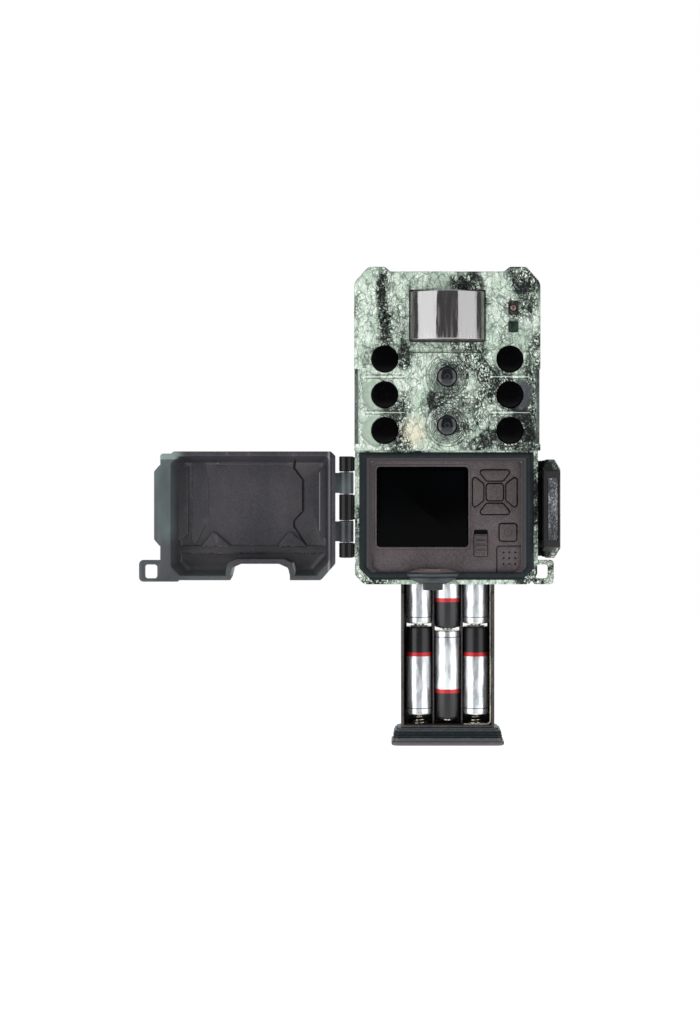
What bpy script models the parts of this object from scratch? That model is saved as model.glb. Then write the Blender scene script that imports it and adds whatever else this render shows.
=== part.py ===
"""Trail camera, door open and battery tray drawn down, one object per physical piece.

Frame: origin at the centre of the flat pad that bears on the tree, front towards -Y, +Z up.
Sizes below are in millimetres; finish() scales each mesh to metres.
"""

import math

import bmesh
import bpy
from mathutils import Matrix, Vector

MM = 0.001

# Case, seen from the front
CASE_W = 100.0
CASE_TOP = 85.8
CASE_BOTTOM = -85.8
EAR_TOP_IN, EAR_TOP_OUT = 33.5, 42.5  # flat top of each corner ear
EAR_FOOT = 30.5
EAR_RISE = 2.5
EAR_DROP = 8.5
FOOT_CHAMFER = 5.0
WALL = 2.5
SIDE_WALL = 4.0

# Case, front to back
FRONT_Y = -63.0
RIM_Y = -43.0  # face the door closes on
SPLIT_Y = -28.6  # middle of the gasket between the two shells
GASKET_T = 0.8
BACK_Y = -8.0
PAD_Y = 0.0
HOOD_Z = -12.8  # underside of the overhang above the door
GAP = 0.3  # usual clearance between neighbours

# Motion sensor, lamps and lenses
PIR_W, PIR_LOW, PIR_HIGH, PIR_BULGE = 39.6, 46.3, 72.6, 9.5
WINDOW_X, WINDOW_R = 33.6, 7.35
WINDOW_Z = (36.3, 17.1, -2.1)
LENS_Z = (27.0, 0.75)
BEZEL_R, BARREL_R, GLASS_R = 11.6, 8.5, 5.6
SENSOR_X, SENSOR_Z, LAMP_Z = 35.4, 63.8, 53.7
MIC_X, MIC_Z, MIC_HOLE_R, MIC_RING_R = -33.7, 58.2, 0.65, 3.1

# Control compartment
PANEL_SIDE, PANEL_FOOT, PANEL_HEAD = 9.0, 6.3, 5.8  # rim left around the opening it shows through
PANEL_HALF = CASE_W / 2 - PANEL_SIDE
PANEL_LOW, PANEL_HIGH = CASE_BOTTOM + PANEL_FOOT, HOOD_Z - PANEL_HEAD
SEAL_SIDE, SEAL_WIDE, SEAL_FIT = 2.6, 3.0, 0.2  # case side to seal, seal band, groove clearance
PANEL_LAP = 2.6  # hidden behind the rim on each side
PANEL_FRONT, PANEL_T = RIM_Y + WALL + GAP, 1.8
SCREEN = (-38.2, 12.1, -65.5, -21.5)
PAD_X, PAD_Z = 26.6, -35.4  # centre of the five-way keys
OK_SIZE, KEY_GAP, KEY_REACH, KEY_WIDE = 9.0, 1.4, 12.0, 16.1
CAPTURE_X, CAPTURE_Z, CAPTURE_SIZE = 33.8, -57.4, 9.2
SLOT = (15.1, 22.7, -70.8, -56.0)
SWITCH_H, SWITCH_TRAVEL = 12.2, 2.3
SPEAKER_X, SPEAKER_Z, SPEAKER_PITCH = 35.5, -72.4, 3.4
KEY_PROUD, KEY_TRAVEL = 0.9, 0.7

# Tray release
RELEASE_X, RELEASE_W, RELEASE_OUT, RELEASE_TRAVEL = -7.5, 29.0, 8.5, 1.8
RELEASE_LOW, RELEASE_HIGH = CASE_BOTTOM + 0.8, CASE_BOTTOM + 8.6

# Hinge and door
HINGE_OUT, KNUCKLE_R, PIN_R, PIN_FIT = 4.7, 3.95, 1.4, 0.1
HINGE_X, HINGE_Y = -CASE_W / 2 - HINGE_OUT, RIM_Y - 0.6
KNUCKLE_Z = tuple(HOOD_Z - down for down in (2.9, 11.5, 23.6, 38.0, 50.0, 58.5))
DOOR_NEAR, DOOR_FAR = 6.0, CASE_W + HINGE_OUT - 6.1  # distances from the hinge axis
DOOR_TOP, DOOR_BOTTOM = HOOD_Z - GAP, CASE_BOTTOM + 2.2
DOOR_DEPTH, DOOR_DRAFT, DOOR_WALL = 19.4, 3.4, 2.5
DOOR_STANDOFF = 0.3  # rim face to the hinge axis plane
FLANGE_FAR, FLANGE_T = CASE_W + HINGE_OUT + 0.5, 2.6
FLANGE_LOW, FLANGE_HIGH = DOOR_BOTTOM + 18.8, DOOR_TOP - 7.5
NOTCH_SIDE, NOTCH_ABOVE = 1.8, 2.6  # clear of the tray release
NOTCH_NEAR = RELEASE_X - RELEASE_W / 2 - NOTCH_SIDE - HINGE_X
NOTCH_FAR = RELEASE_X + RELEASE_W / 2 + NOTCH_SIDE - HINGE_X
NOTCH_H = RELEASE_HIGH + NOTCH_ABOVE - DOOR_BOTTOM
EAR_HOLE_X, EAR_HOLE_Z, EAR_HOLE_W, EAR_HOLE_H = CASE_W / 2 + 2.1, CASE_BOTTOM + 7.0, 6.8, 7.6
EAR_EDGE, EAR_T = 3.2, 2.8

# Latch
LATCH_X, LATCH_Y, LATCH_PIN_R = CASE_W / 2 + 5.5, RIM_Y + 7.0, 1.3
LATCH_LOW, LATCH_HIGH = CASE_BOTTOM + 14.3, HOOD_Z - 4.7
LATCH_OPEN = 20.0  # degrees open as shown
LATCH_T, HOOK_Y, HOOK_T, HOOK_TIP = 4.0, RIM_Y - 4.2, 3.2, -8.0
LUG_T = 4.0

# Cells, and the battery tray drawn down by TRAY_OUT from its stowed place
CELL_R, CELL_BODY, NUB_R, NUB_H = 7.25, 48.8, 2.75, 1.5
CELL_FIT, RIB_T = 1.25, 0.8
CELL_PITCH = 2 * CELL_R + CELL_FIT
SPRING_H, WIRE_R = 5.2, 0.4
TRAY_SIDE, TRAY_BACK, TRAY_DECK = 1.6, 1.2, 1.0
BACK_WINDOW_H = 8.0  # openings behind the joints between cells
TRAY_W, TRAY_D = 2 * (CELL_PITCH + CELL_R + TRAY_SIDE + CELL_FIT), 2 * CELL_R + 3.3
TRAY_X, TRAY_Y = 1.0, BACK_Y - WALL - 3.6 - TRAY_D / 2
TRAY_OUT, TRAY_STOWED = 86.9, CASE_BOTTOM + 8.3  # floor of the tray when it is pushed home
TRAY_FLOOR = TRAY_STOWED - TRAY_OUT
TRAY_TOP = TRAY_FLOOR + SPRING_H + 2 * (CELL_BODY + NUB_H) + 4.6
CAP_OVER_X, CAP_OVER_Y = 5.3, 3.3  # cap past the tray
CAP_W, CAP_D, CAP_LIP, CAP_H = TRAY_W + 2 * CAP_OVER_X, TRAY_D + 2 * CAP_OVER_Y, 2.4, 9.7
CAP_STEP = 1.0
SLEEVE_FIT, SLEEVE_WALL, SLEEVE_END = 0.3, 1.5, 1.2
SLEEVE_TOP, SLEEVE_LOW = TRAY_TOP + TRAY_OUT + SLEEVE_END + SLEEVE_WALL, CASE_BOTTOM + 8.2
BAY_EDGE = 0.5  # bay mouth past the stepped plug

# Back of the case
STRAP_H, STRAP_D, STRAP_Z = 27.0, 4.6, 43.0
RAIL_IN, RAIL_OUT, RAIL_END = 29.0, 42.0, 60.0
TREE_PAD_W, TREE_PAD_LOW, TREE_PAD_HIGH = 28.0, -26.0, 22.0
INSERT_Z, INSERT_R, INSERT_BORE = -15.0, 4.6, 3.0
SCREW_IN, SCREW_END, BOSS_R, HEAD_R, SHANK_R = 7.4, 13.8, 3.6, 2.7, 1.2
SCREW_X, SCREW_Z = CASE_W / 2 - SCREW_IN, (CASE_BOTTOM + SCREW_END, CASE_TOP - SCREW_END)
BOSS_FRONT, SHANK_END = -35.6, -34.2

for old in list(bpy.data.objects):
    bpy.data.objects.remove(old, do_unlink=True)

LOOKS = {
    "camo_plastic": ((0.47, 0.55, 0.47), 0.55, 0.0),
    "brown_plastic": ((0.085, 0.072, 0.075), 0.5, 0.0),
    "black_plastic": ((0.02, 0.02, 0.022), 0.4, 0.0),
    "slate_plastic": ((0.045, 0.055, 0.062), 0.45, 0.0),
    "seal_rubber": ((0.02, 0.028, 0.033), 0.7, 0.0),
    "lens_cover": ((0.05, 0.035, 0.035), 0.15, 0.0),
    "dark_window": ((0.006, 0.006, 0.008), 0.08, 0.0),
    "red_window": ((0.12, 0.01, 0.01), 0.15, 0.0),
    "green_window": ((0.01, 0.05, 0.03), 0.15, 0.0),
    "lens_glass": ((0.02, 0.025, 0.04), 0.05, 0.0),
    "circuit_board": ((0.02, 0.12, 0.05), 0.5, 0.0),
    "steel": ((0.55, 0.56, 0.57), 0.3, 1.0),
    "brass": ((0.72, 0.53, 0.24), 0.3, 1.0),
    "cell_wrap": ((0.62, 0.64, 0.67), 0.3, 0.6),
}


def material(name):
    """The named material, made the first time it is asked for."""
    made = bpy.data.materials.get(name)
    if made is None:
        colour, rough, metal = LOOKS[name]
        made = bpy.data.materials.new(name)
        made.use_nodes = True
        shader = made.node_tree.nodes["Principled BSDF"]
        shader.inputs["Base Color"].default_value = (*colour, 1.0)
        shader.inputs["Roughness"].default_value = rough
        shader.inputs["Metallic"].default_value = metal
        made.diffuse_color = (*colour, 1.0)
    return made


def solid(bm):
    """A linked object from a closed bmesh, its faces turned outwards."""
    bmesh.ops.recalc_face_normals(bm, faces=bm.faces[:])
    mesh = bpy.data.meshes.new("solid")
    bm.to_mesh(mesh)
    bm.free()
    made = bpy.data.objects.new("solid", mesh)
    bpy.context.scene.collection.objects.link(made)
    return made


def place(axis, across, up, along):
    """A point from its two outline values and its distance along an axis."""
    return {"X": (along, across, up), "Y": (across, along, up), "Z": (across, up, along)}[axis]


def loft(outlines, axis):
    """A solid through outlines of equal count, each given as (points, distance along axis)."""
    bm = bmesh.new()
    rings = [[bm.verts.new(place(axis, a, b, at)) for a, b in points] for points, at in outlines]
    for low, high in zip(rings, rings[1:]):
        for i in range(len(low)):
            j = (i + 1) % len(low)
            bm.faces.new((low[i], low[j], high[j], high[i]))
    bm.faces.new(rings[0])
    bm.faces.new(rings[-1])
    return solid(bm)


def prism(points, low, high, axis):
    return loft([(points, low), (points, high)], axis)


def box(x0, x1, y0, y1, z0, z1):
    return prism([(x0, y0), (x1, y0), (x1, y1), (x0, y1)], z0, z1, "Z")


def circle(cx, cy, radius, count):
    turn = 2 * math.pi / count
    return [
        (cx + radius * math.cos(turn * (i + 0.5)), cy + radius * math.sin(turn * (i + 0.5)))
        for i in range(count)
    ]


def rod(cx, cy, radius, low, high, axis, count=16):
    return prism(circle(cx, cy, radius, count), low, high, axis)


def stack(cx, cy, steps, axis, count=20):
    """A turned solid from (radius, distance along axis) steps."""
    return loft([(circle(cx, cy, radius, count), at) for radius, at in steps], axis)


def chamfered(x0, x1, z0, z1, low_cut, high_cut):
    """A rectangle with its lower and its upper corners cut off."""
    return [
        (x0 + low_cut, z0), (x1 - low_cut, z0), (x1, z0 + low_cut), (x1, z1 - high_cut),
        (x1 - high_cut, z1), (x0 + high_cut, z1), (x0, z1 - high_cut), (x0, z0 + low_cut),
    ]


def combine(body, tools, operation):
    """Boolean the tools into body one after another and drop them."""
    for tool in tools:
        step = body.modifiers.new("step", "BOOLEAN")
        step.operation = operation
        step.solver = "EXACT"
        step.object = tool
    graph = bpy.context.evaluated_depsgraph_get()
    mesh = bpy.data.meshes.new_from_object(body.evaluated_get(graph))
    body.modifiers.clear()
    body.data = mesh
    for tool in tools:
        bpy.data.objects.remove(tool, do_unlink=True)
    return body


def cut(body, *tools):
    return combine(body, tools, "DIFFERENCE")


def add(body, *tools):
    return combine(body, tools, "UNION")


def finish(made, name, look, origin=(0.0, 0.0, 0.0)):
    """Name a solid, give it its material, and put its origin on its joint."""
    made.name = name
    made.data.name = name
    made.data.materials.clear()
    made.data.materials.append(material(look))
    made.data.transform(Matrix.Translation(-Vector(origin)))
    made.data.transform(Matrix.Scale(MM, 4))
    made.location = Vector(origin) * MM
    return made


# ---- Case ----
half = CASE_W / 2
case_outline = [
    (-half + FOOT_CHAMFER, CASE_BOTTOM), (half - FOOT_CHAMFER, CASE_BOTTOM),
    (half, CASE_BOTTOM + FOOT_CHAMFER), (half, CASE_TOP - EAR_DROP),
    (EAR_TOP_OUT, CASE_TOP), (EAR_TOP_IN, CASE_TOP), (EAR_FOOT, CASE_TOP - EAR_RISE),
    (-EAR_FOOT, CASE_TOP - EAR_RISE), (-EAR_TOP_IN, CASE_TOP), (-EAR_TOP_OUT, CASE_TOP),
    (-half, CASE_TOP - EAR_DROP), (-half, CASE_BOTTOM + FOOT_CHAMFER),
]
room_half = half - SIDE_WALL
room_top = CASE_TOP - EAR_RISE - 2 * WALL
room_low = CASE_BOTTOM + WALL
front_back = SPLIT_Y - GASKET_T / 2 - GAP
rear_front = SPLIT_Y + GASKET_T / 2 + GAP
bay = (
    TRAY_X - CAP_W / 2 + CAP_STEP - BAY_EDGE, TRAY_X + CAP_W / 2 - CAP_STEP + BAY_EDGE,
    TRAY_Y - CAP_D / 2 + CAP_STEP - BAY_EDGE, TRAY_Y + CAP_D / 2 - CAP_STEP + BAY_EDGE,
)
screw_spots = [(side * SCREW_X, z) for side in (-1, 1) for z in SCREW_Z]
over = 5.0  # how far a cutter runs past what it cuts

front = prism(case_outline, FRONT_Y, front_back, "Y")
cut(
    front,
    box(-half - over, half + over, FRONT_Y - over, RIM_Y, CASE_BOTTOM - over, HOOD_Z),
    box(-room_half, room_half, FRONT_Y + WALL, front_back + over, HOOD_Z + WALL, room_top),
    box(-room_half, room_half, RIM_Y + WALL, front_back + over, room_low, HOOD_Z + 2 * WALL),
)
add(front, *[rod(x, z, BOSS_R, BOSS_FRONT, front_back, "Y", 12) for x, z in screw_spots])
ear_x0, ear_x1 = half - 1.0, EAR_HOLE_X + EAR_HOLE_W / 2 + EAR_EDGE
ear_z0 = EAR_HOLE_Z - EAR_HOLE_H / 2 - EAR_EDGE
ear_z1 = EAR_HOLE_Z + EAR_HOLE_H / 2 + EAR_EDGE - 0.7
knuckle_pairs = list(zip(KNUCKLE_Z, KNUCKLE_Z[1:]))
lug_half = 3.4
lug_spans = (
    (LATCH_LOW + 3 * LUG_T / 2, LATCH_LOW + 5 * LUG_T / 2),
    (LATCH_HIGH - 5 * LUG_T / 2, LATCH_HIGH - 3 * LUG_T / 2),
)
fixed_parts = [
    prism(chamfered(ear_x0, ear_x1, ear_z0, ear_z1, 1.5, 1.5), RIM_Y, RIM_Y + EAR_T, "Y"),
]
for high, low in knuckle_pairs[::2]:
    high, low = high - GAP / 2, low + GAP / 2
    fixed_parts += [
        rod(HINGE_X, HINGE_Y, KNUCKLE_R, low, high, "Z"),
        box(HINGE_X, -half + 1.0, HINGE_Y - 0.5, HINGE_Y + KNUCKLE_R - 0.3, low + 0.2, high - 0.2),
    ]
for low, high in lug_spans:
    fixed_parts.append(
        box(half - 1.0, LATCH_X + lug_half - 1.0, LATCH_Y - lug_half + 0.8,
            LATCH_Y + lug_half - 0.8, low + GAP, high - GAP)
    )
add(front, *fixed_parts)
screen_x0, screen_x1, screen_z0, screen_z1 = SCREEN
front_cuts = [
    box(-PANEL_HALF, PANEL_HALF, RIM_Y - over, RIM_Y + WALL + 1.0, PANEL_LOW, PANEL_HIGH),
    box(-PIR_W / 2 - GAP, PIR_W / 2 + GAP, FRONT_Y - over, FRONT_Y + WALL + 1.0,
        PIR_LOW - GAP, PIR_HIGH + GAP),
    box(bay[0], bay[1], bay[2], front_back + over, CASE_BOTTOM - over, room_low + 1.0),
    prism(chamfered(EAR_HOLE_X - EAR_HOLE_W / 2, EAR_HOLE_X + EAR_HOLE_W / 2,
                    EAR_HOLE_Z - EAR_HOLE_H / 2, EAR_HOLE_Z + EAR_HOLE_H / 2, 1.2, 1.2),
          RIM_Y - over, RIM_Y + over, "Y"),
    rod(HINGE_X, HINGE_Y, PIN_R + PIN_FIT, KNUCKLE_Z[-1] - over, KNUCKLE_Z[0] + over, "Z"),
    rod(LATCH_X, LATCH_Y, LATCH_PIN_R + PIN_FIT, LATCH_LOW, LATCH_HIGH, "Z"),
    prism(chamfered(SENSOR_X - 2.65, SENSOR_X + 2.65, 49.9, 67.3, 1.0, 1.0),
          FRONT_Y - over, FRONT_Y + 1.0, "Y"),
    rod(SENSOR_X, SENSOR_Z, 2.1, FRONT_Y - over, FRONT_Y + WALL + 1.0, "Y", 12),
    box(SENSOR_X - 2.1, SENSOR_X + 2.1, FRONT_Y - over, FRONT_Y + WALL + 1.0,
        LAMP_Z - 2.4, LAMP_Z + 2.4),
    rod(MIC_X, MIC_Z, MIC_HOLE_R, FRONT_Y - over, FRONT_Y + WALL + 1.0, "Y", 8),
]
front_cuts += [
    rod(side * WINDOW_X, z, WINDOW_R, FRONT_Y - over, FRONT_Y + WALL + 1.0, "Y", 20)
    for side in (-1, 1) for z in WINDOW_Z
]
front_cuts += [
    rod(0, z, BEZEL_R + GAP, FRONT_Y - over, FRONT_Y + 2 * WALL + 1.0, "Y", 24) for z in LENS_Z
]
front_cuts += [
    rod(MIC_X + MIC_RING_R * math.sin(math.radians(72 * i)),
        MIC_Z + MIC_RING_R * math.cos(math.radians(72 * i)),
        MIC_HOLE_R, FRONT_Y - over, FRONT_Y + WALL + 1.0, "Y", 8)
    for i in range(5)
]
front_cuts += [
    rod(x, z, SHANK_R + PIN_FIT, SHANK_END - 0.4, front_back + over, "Y", 12)
    for x, z in screw_spots
]
seal_half = half - SEAL_SIDE
seal_core_half = seal_half - SEAL_WIDE
seal_cut = chamfered(-seal_half - SEAL_FIT, seal_half + SEAL_FIT,
                     CASE_BOTTOM + 3.6, HOOD_Z - 0.9, 4.0, 0.6)
seal_core = chamfered(-seal_core_half + SEAL_FIT, seal_core_half - SEAL_FIT,
                      CASE_BOTTOM + 5.6, HOOD_Z - 3.5, 3.0, 0.4)
groove = cut(
    prism(seal_cut, RIM_Y - over, RIM_Y + 1.2, "Y"),
    prism(seal_core, RIM_Y - 2 * over, RIM_Y + over, "Y"),
)
front_cuts.append(groove)
cut(front, *front_cuts)
finish(front, "front_housing", "camo_plastic")

seal_outline = chamfered(-seal_half, seal_half, CASE_BOTTOM + 3.8, HOOD_Z - 1.1, 4.0, 0.6)
seal_hole = chamfered(-seal_core_half, seal_core_half, CASE_BOTTOM + 5.4, HOOD_Z - 3.3, 3.0, 0.4)
seal = cut(
    prism(seal_outline, RIM_Y - 0.5, RIM_Y + 1.0, "Y"),
    prism(seal_hole, RIM_Y - over, RIM_Y + over, "Y"),
)
finish(seal, "compartment_seal", "seal_rubber")

rear = prism(case_outline, rear_front, BACK_Y, "Y")
cut(rear, box(-room_half, room_half, rear_front - over, BACK_Y - WALL, room_low, room_top))
rails = [
    prism(chamfered(min(a, b), max(a, b), -RAIL_END, RAIL_END, 3.0, 3.0), BACK_Y - 1.0, PAD_Y, "Y")
    for a, b in ((RAIL_IN, RAIL_OUT), (-RAIL_IN, -RAIL_OUT))
]
tree_pad = prism(
    chamfered(-TREE_PAD_W / 2, TREE_PAD_W / 2, TREE_PAD_LOW, TREE_PAD_HIGH, 3.0, 3.0),
    BACK_Y - 1.0, PAD_Y, "Y",
)
add(rear, tree_pad, *rails)
add(rear, *[rod(x, z, BOSS_R, rear_front, BACK_Y - 1.0, "Y", 12) for x, z in screw_spots])
strap_y = (BACK_Y + 0.5, BACK_Y + 0.5 + STRAP_D)
rear_cuts = [
    box(bay[0], bay[1], rear_front - over, bay[3], CASE_BOTTOM - over, room_low + 1.0),
    rod(0, INSERT_Z, INSERT_R + PIN_FIT, BACK_Y - 1.5, PAD_Y + over, "Y", 16),
]
rear_cuts += [
    box(-half - over, half + over, *strap_y, z - STRAP_H / 2, z + STRAP_H / 2)
    for z in (-STRAP_Z, STRAP_Z)
]
rear_cuts += [
    rod(x, z, HEAD_R + 0.2, BACK_Y - WALL, BACK_Y + over, "Y", 12) for x, z in screw_spots
]
rear_cuts += [
    rod(x, z, SHANK_R + 0.2, rear_front - over, BACK_Y + over, "Y", 12) for x, z in screw_spots
]
cut(rear, *rear_cuts)
finish(rear, "rear_housing", "camo_plastic")

gasket_inner = [(x * 0.95, z * 0.968) for x, z in case_outline]
gasket_outer = [(x * 0.985, z * 0.991) for x, z in case_outline]
gasket_y = (SPLIT_Y - GASKET_T / 2, SPLIT_Y + GASKET_T / 2)
gasket = prism(gasket_outer, *gasket_y, "Y")
cut(
    gasket,
    prism(gasket_inner, gasket_y[0] - over, gasket_y[1] + over, "Y"),
    box(bay[0] - GAP, bay[1] + GAP, bay[2], bay[3], CASE_BOTTOM - over, CASE_BOTTOM + over),
    *[rod(x, z, BOSS_R + GAP, gasket_y[0] - over, gasket_y[1] + over, "Y", 12)
      for x, z in screw_spots],
)
finish(gasket, "housing_gasket", "seal_rubber")

insert = cut(
    rod(0, INSERT_Z, INSERT_R, BACK_Y - 1.2, PAD_Y - 0.3, "Y", 16),
    rod(0, INSERT_Z, INSERT_BORE, BACK_Y, PAD_Y + over, "Y", 16),
)
finish(insert, "tripod_insert", "brass")

for number, (x, z) in enumerate(screw_spots, 1):
    screw = stack(x, z, [
        (SHANK_R, SHANK_END), (SHANK_R, BACK_Y - WALL + 0.2),
        (HEAD_R, BACK_Y - WALL + 0.3), (HEAD_R, BACK_Y - 0.4),
    ], "Y", 12)
    cut(screw, rod(x, z, 1.1, BACK_Y - 1.4, BACK_Y + over, "Y", 6))
    finish(screw, f"housing_screw_{number}", "steel")

# ---- Motion sensor, lamps, lenses and what stands behind them ----


def dome(width, bulge, base):
    """A cylinder segment seen from above, with its flat side at base."""
    radius = ((width / 2) ** 2 + bulge ** 2) / (2 * bulge)
    reach = math.asin(width / 2 / radius)
    arc = [
        (radius * math.sin(reach * (i / 7 - 1)),
         FRONT_Y - bulge + radius - radius * math.cos(reach * (i / 7 - 1)))
        for i in range(15)
    ]
    return arc + [(width / 2, base), (-width / 2, base)]


behind = FRONT_Y + WALL + GAP
pir = prism(dome(PIR_W, PIR_BULGE, behind + 0.8), PIR_LOW, PIR_HIGH, "Z")
add(pir, box(-PIR_W / 2 - 1.7, PIR_W / 2 + 1.7, behind, behind + 1.2, PIR_LOW - 1.5, PIR_HIGH + 1.5))
cut(pir, prism(dome(PIR_W - 2.4, PIR_BULGE - 1.2, behind + over), PIR_LOW + 1.2, PIR_HIGH - 1.2, "Z"))
finish(pir, "pir_lens", "lens_cover")

board_y = -52.0
sensor_board = box(2.0 - room_half, room_half - 2.0, board_y, board_y + 1.2, HOOD_Z + WALL + 0.8, room_top - 2.0)
cut(sensor_board, *[
    rod(0, z, BARREL_R + GAP, board_y - over, board_y + over, "Y", 20) for z in LENS_Z
])
finish(sensor_board, "sensor_board", "circuit_board")
can = stack(0, (PIR_LOW + PIR_HIGH) / 2, [
    (4.6, board_y - GAP), (4.6, board_y - 0.8), (4.1, board_y - 0.9), (4.1, board_y - 4.5),
], "Y", 16)
finish(can, "pir_sensor", "steel")
finish(rod(MIC_X, MIC_Z, 4.9, behind, behind + 4.0, "Y", 16), "microphone", "black_plastic")

names = ("upper", "middle", "lower")
for side, word in ((-1, "left"), (1, "right")):
    for z, level in zip(WINDOW_Z, names):
        pane = stack(side * WINDOW_X, z, [
            (WINDOW_R - 0.2, FRONT_Y + 0.9), (WINDOW_R - 0.2, behind),
            (WINDOW_R + 0.45, behind + 0.01), (WINDOW_R + 0.45, behind + 1.0),
        ], "Y", 20)
        finish(pane, f"ir_window_{word}_{level}", "dark_window")

for z, level in zip(LENS_Z, ("upper", "lower")):
    barrel = stack(0, z, [
        (BEZEL_R, FRONT_Y + 0.3), (BEZEL_R, FRONT_Y + 2 * WALL + 0.6),
        (BARREL_R, FRONT_Y + 2 * WALL + 0.7), (BARREL_R, -42.0),
    ], "Y", 24)
    cut(barrel, stack(0, z, [
        (BEZEL_R - 0.9, FRONT_Y - 1.0), (BEZEL_R - 0.9, FRONT_Y + 0.9),
        (BEZEL_R - 2.6, FRONT_Y + 1.4), (BEZEL_R - 2.6, FRONT_Y + 2.2),
        (GLASS_R + 1.6, FRONT_Y + 2.8), (GLASS_R + 0.1, FRONT_Y + 3.4),
        (GLASS_R + 0.1, FRONT_Y + 7.0),
    ], "Y", 24))
    finish(barrel, f"lens_barrel_{level}", "black_plastic")
    glass = stack(0, z, [
        (1.6, FRONT_Y + 3.3), (3.8, FRONT_Y + 3.7), (GLASS_R, FRONT_Y + 4.6),
        (GLASS_R, FRONT_Y + 6.8),
    ], "Y", 20)
    finish(glass, f"lens_glass_{level}", "lens_glass")

eye = stack(SENSOR_X, SENSOR_Z, [
    (0.9, FRONT_Y + 0.2), (1.7, FRONT_Y + 0.5), (1.9, FRONT_Y + 1.2), (1.9, behind),
    (3.0, behind + 0.01), (3.0, behind + 1.2),
], "Y", 12)
finish(eye, "light_sensor", "red_window")
lamp = box(SENSOR_X - 1.9, SENSOR_X + 1.9, FRONT_Y + 0.8, behind + 1.2, LAMP_Z - 2.2, LAMP_Z + 2.2)
add(lamp, box(SENSOR_X - 3.0, SENSOR_X + 3.0, behind, behind + 1.2, LAMP_Z - 3.2, LAMP_Z + 3.2))
finish(lamp, "status_lamp", "green_window")

# ---- Control compartment ----
panel_back = PANEL_FRONT + PANEL_T
panel = box(-PANEL_HALF - PANEL_LAP, PANEL_HALF + PANEL_LAP, PANEL_FRONT, panel_back,
            PANEL_LOW - PANEL_LAP, PANEL_HIGH + PANEL_LAP)


def key(direction):
    """One wedge of the five-way keys: wide on the outside, narrow beside the middle key."""
    near, wide, narrow = OK_SIZE / 2 + KEY_GAP, KEY_WIDE / 2, OK_SIZE / 2 - 0.1
    shape = [(-narrow, near), (narrow, near), (wide, KEY_REACH - 1.2), (wide - 1.0, KEY_REACH),
             (-wide + 1.0, KEY_REACH), (-wide, KEY_REACH - 1.2)]
    turn = {"up": (1, 0), "left": (0, 1), "down": (-1, 0), "right": (0, -1)}[direction]
    return [(PAD_X + x * turn[0] - z * turn[1], PAD_Z + x * turn[1] + z * turn[0])
            for x, z in shape]


def grown(points, by):
    """The outline pushed away from its own centre, for a hole around it."""
    cx = sum(x for x, _ in points) / len(points)
    cz = sum(z for _, z in points) / len(points)
    reach_x = max(abs(x - cx) for x, _ in points)
    reach_z = max(abs(z - cz) for _, z in points)
    return [(cx + (x - cx) * (1 + by / reach_x), cz + (z - cz) * (1 + by / reach_z))
            for x, z in points]


def square(cx, cz, size, corner):
    return chamfered(cx - size / 2, cx + size / 2, cz - size / 2, cz + size / 2, corner, corner)


keys = {f"button_{way}": key(way) for way in ("up", "down", "left", "right")}
keys["button_ok"] = square(PAD_X, PAD_Z, OK_SIZE, 1.5)
keys["button_capture"] = square(CAPTURE_X, CAPTURE_Z, CAPTURE_SIZE, 1.8)
stem_x, stem_z, stem_w, stem_h = RELEASE_X, RELEASE_HIGH - 0.9, 8.0, 1.4
panel_cuts = [
    prism(chamfered(*SCREEN, 1.6, 1.6), PANEL_FRONT - over, panel_back + over, "Y"),
    box(SLOT[0], SLOT[1], PANEL_FRONT - over, panel_back + over, SLOT[2], SLOT[3]),
    box(stem_x - stem_w / 2 - GAP, stem_x + stem_w / 2 + GAP, PANEL_FRONT - over,
        panel_back + over, stem_z - stem_h / 2 - GAP, stem_z + stem_h / 2 + GAP),
]
panel_cuts += [
    prism(grown(shape, GAP), PANEL_FRONT - over, panel_back + over, "Y")
    for shape in keys.values()
]
panel_cuts += [
    rod(SPEAKER_X + i * SPEAKER_PITCH, SPEAKER_Z + 1.7 + j * SPEAKER_PITCH, 0.6,
        PANEL_FRONT - over, panel_back + over, "Y", 6)
    for i in (-1, 0, 1) for j in (-1, 0, 1)
]
cut(panel, *panel_cuts)
finish(panel, "control_panel", "brown_plastic")

for name, shape in keys.items():
    centre = (sum(x for x, _ in shape) / len(shape), sum(z for _, z in shape) / len(shape))
    made = prism(shape, PANEL_FRONT - KEY_PROUD, panel_back + 0.4, "Y")
    finish(made, name, "brown_plastic", (centre[0], PANEL_FRONT, centre[1]))

switch_mid = (SLOT[0] + SLOT[1]) / 2
switch = box(SLOT[0] + 0.2, SLOT[1] - 0.2, PANEL_FRONT - 0.8, panel_back + 0.4,
             SLOT[2] + 0.2, SLOT[2] + 0.2 + SWITCH_H)
add(switch, *[
    box(SLOT[0] + 0.9, SLOT[1] - 0.9, PANEL_FRONT - 1.5, PANEL_FRONT,
        SLOT[2] + 2.6 + 2.6 * i, SLOT[2] + 3.8 + 2.6 * i)
    for i in range(4)
])
finish(switch, "power_switch", "brown_plastic", (switch_mid, PANEL_FRONT, SLOT[2]))

pane = prism(chamfered(screen_x0 + 0.2, screen_x1 - 0.2, screen_z0 + 0.2, screen_z1 - 0.2, 1.5, 1.5),
             PANEL_FRONT + 0.2, panel_back, "Y")
finish(pane, "lcd_window", "dark_window")
module_y = (panel_back + GAP, panel_back + GAP + 2.0)
finish(box(screen_x0 + 0.6, screen_x1 - 0.6, *module_y, screen_z0 - 0.5, screen_z1 + 0.5),
       "lcd_module", "black_plastic")
finish(rod(SPEAKER_X, SPEAKER_Z + 1.7, 5.8, *module_y, "Y", 16), "speaker", "black_plastic")
main_y = module_y[1] + GAP
finish(box(8.0 - room_half, room_half - 8.0, main_y, main_y + 1.0, room_low + 6.5, room_top - 3.0),
       "main_board", "circuit_board")

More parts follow.
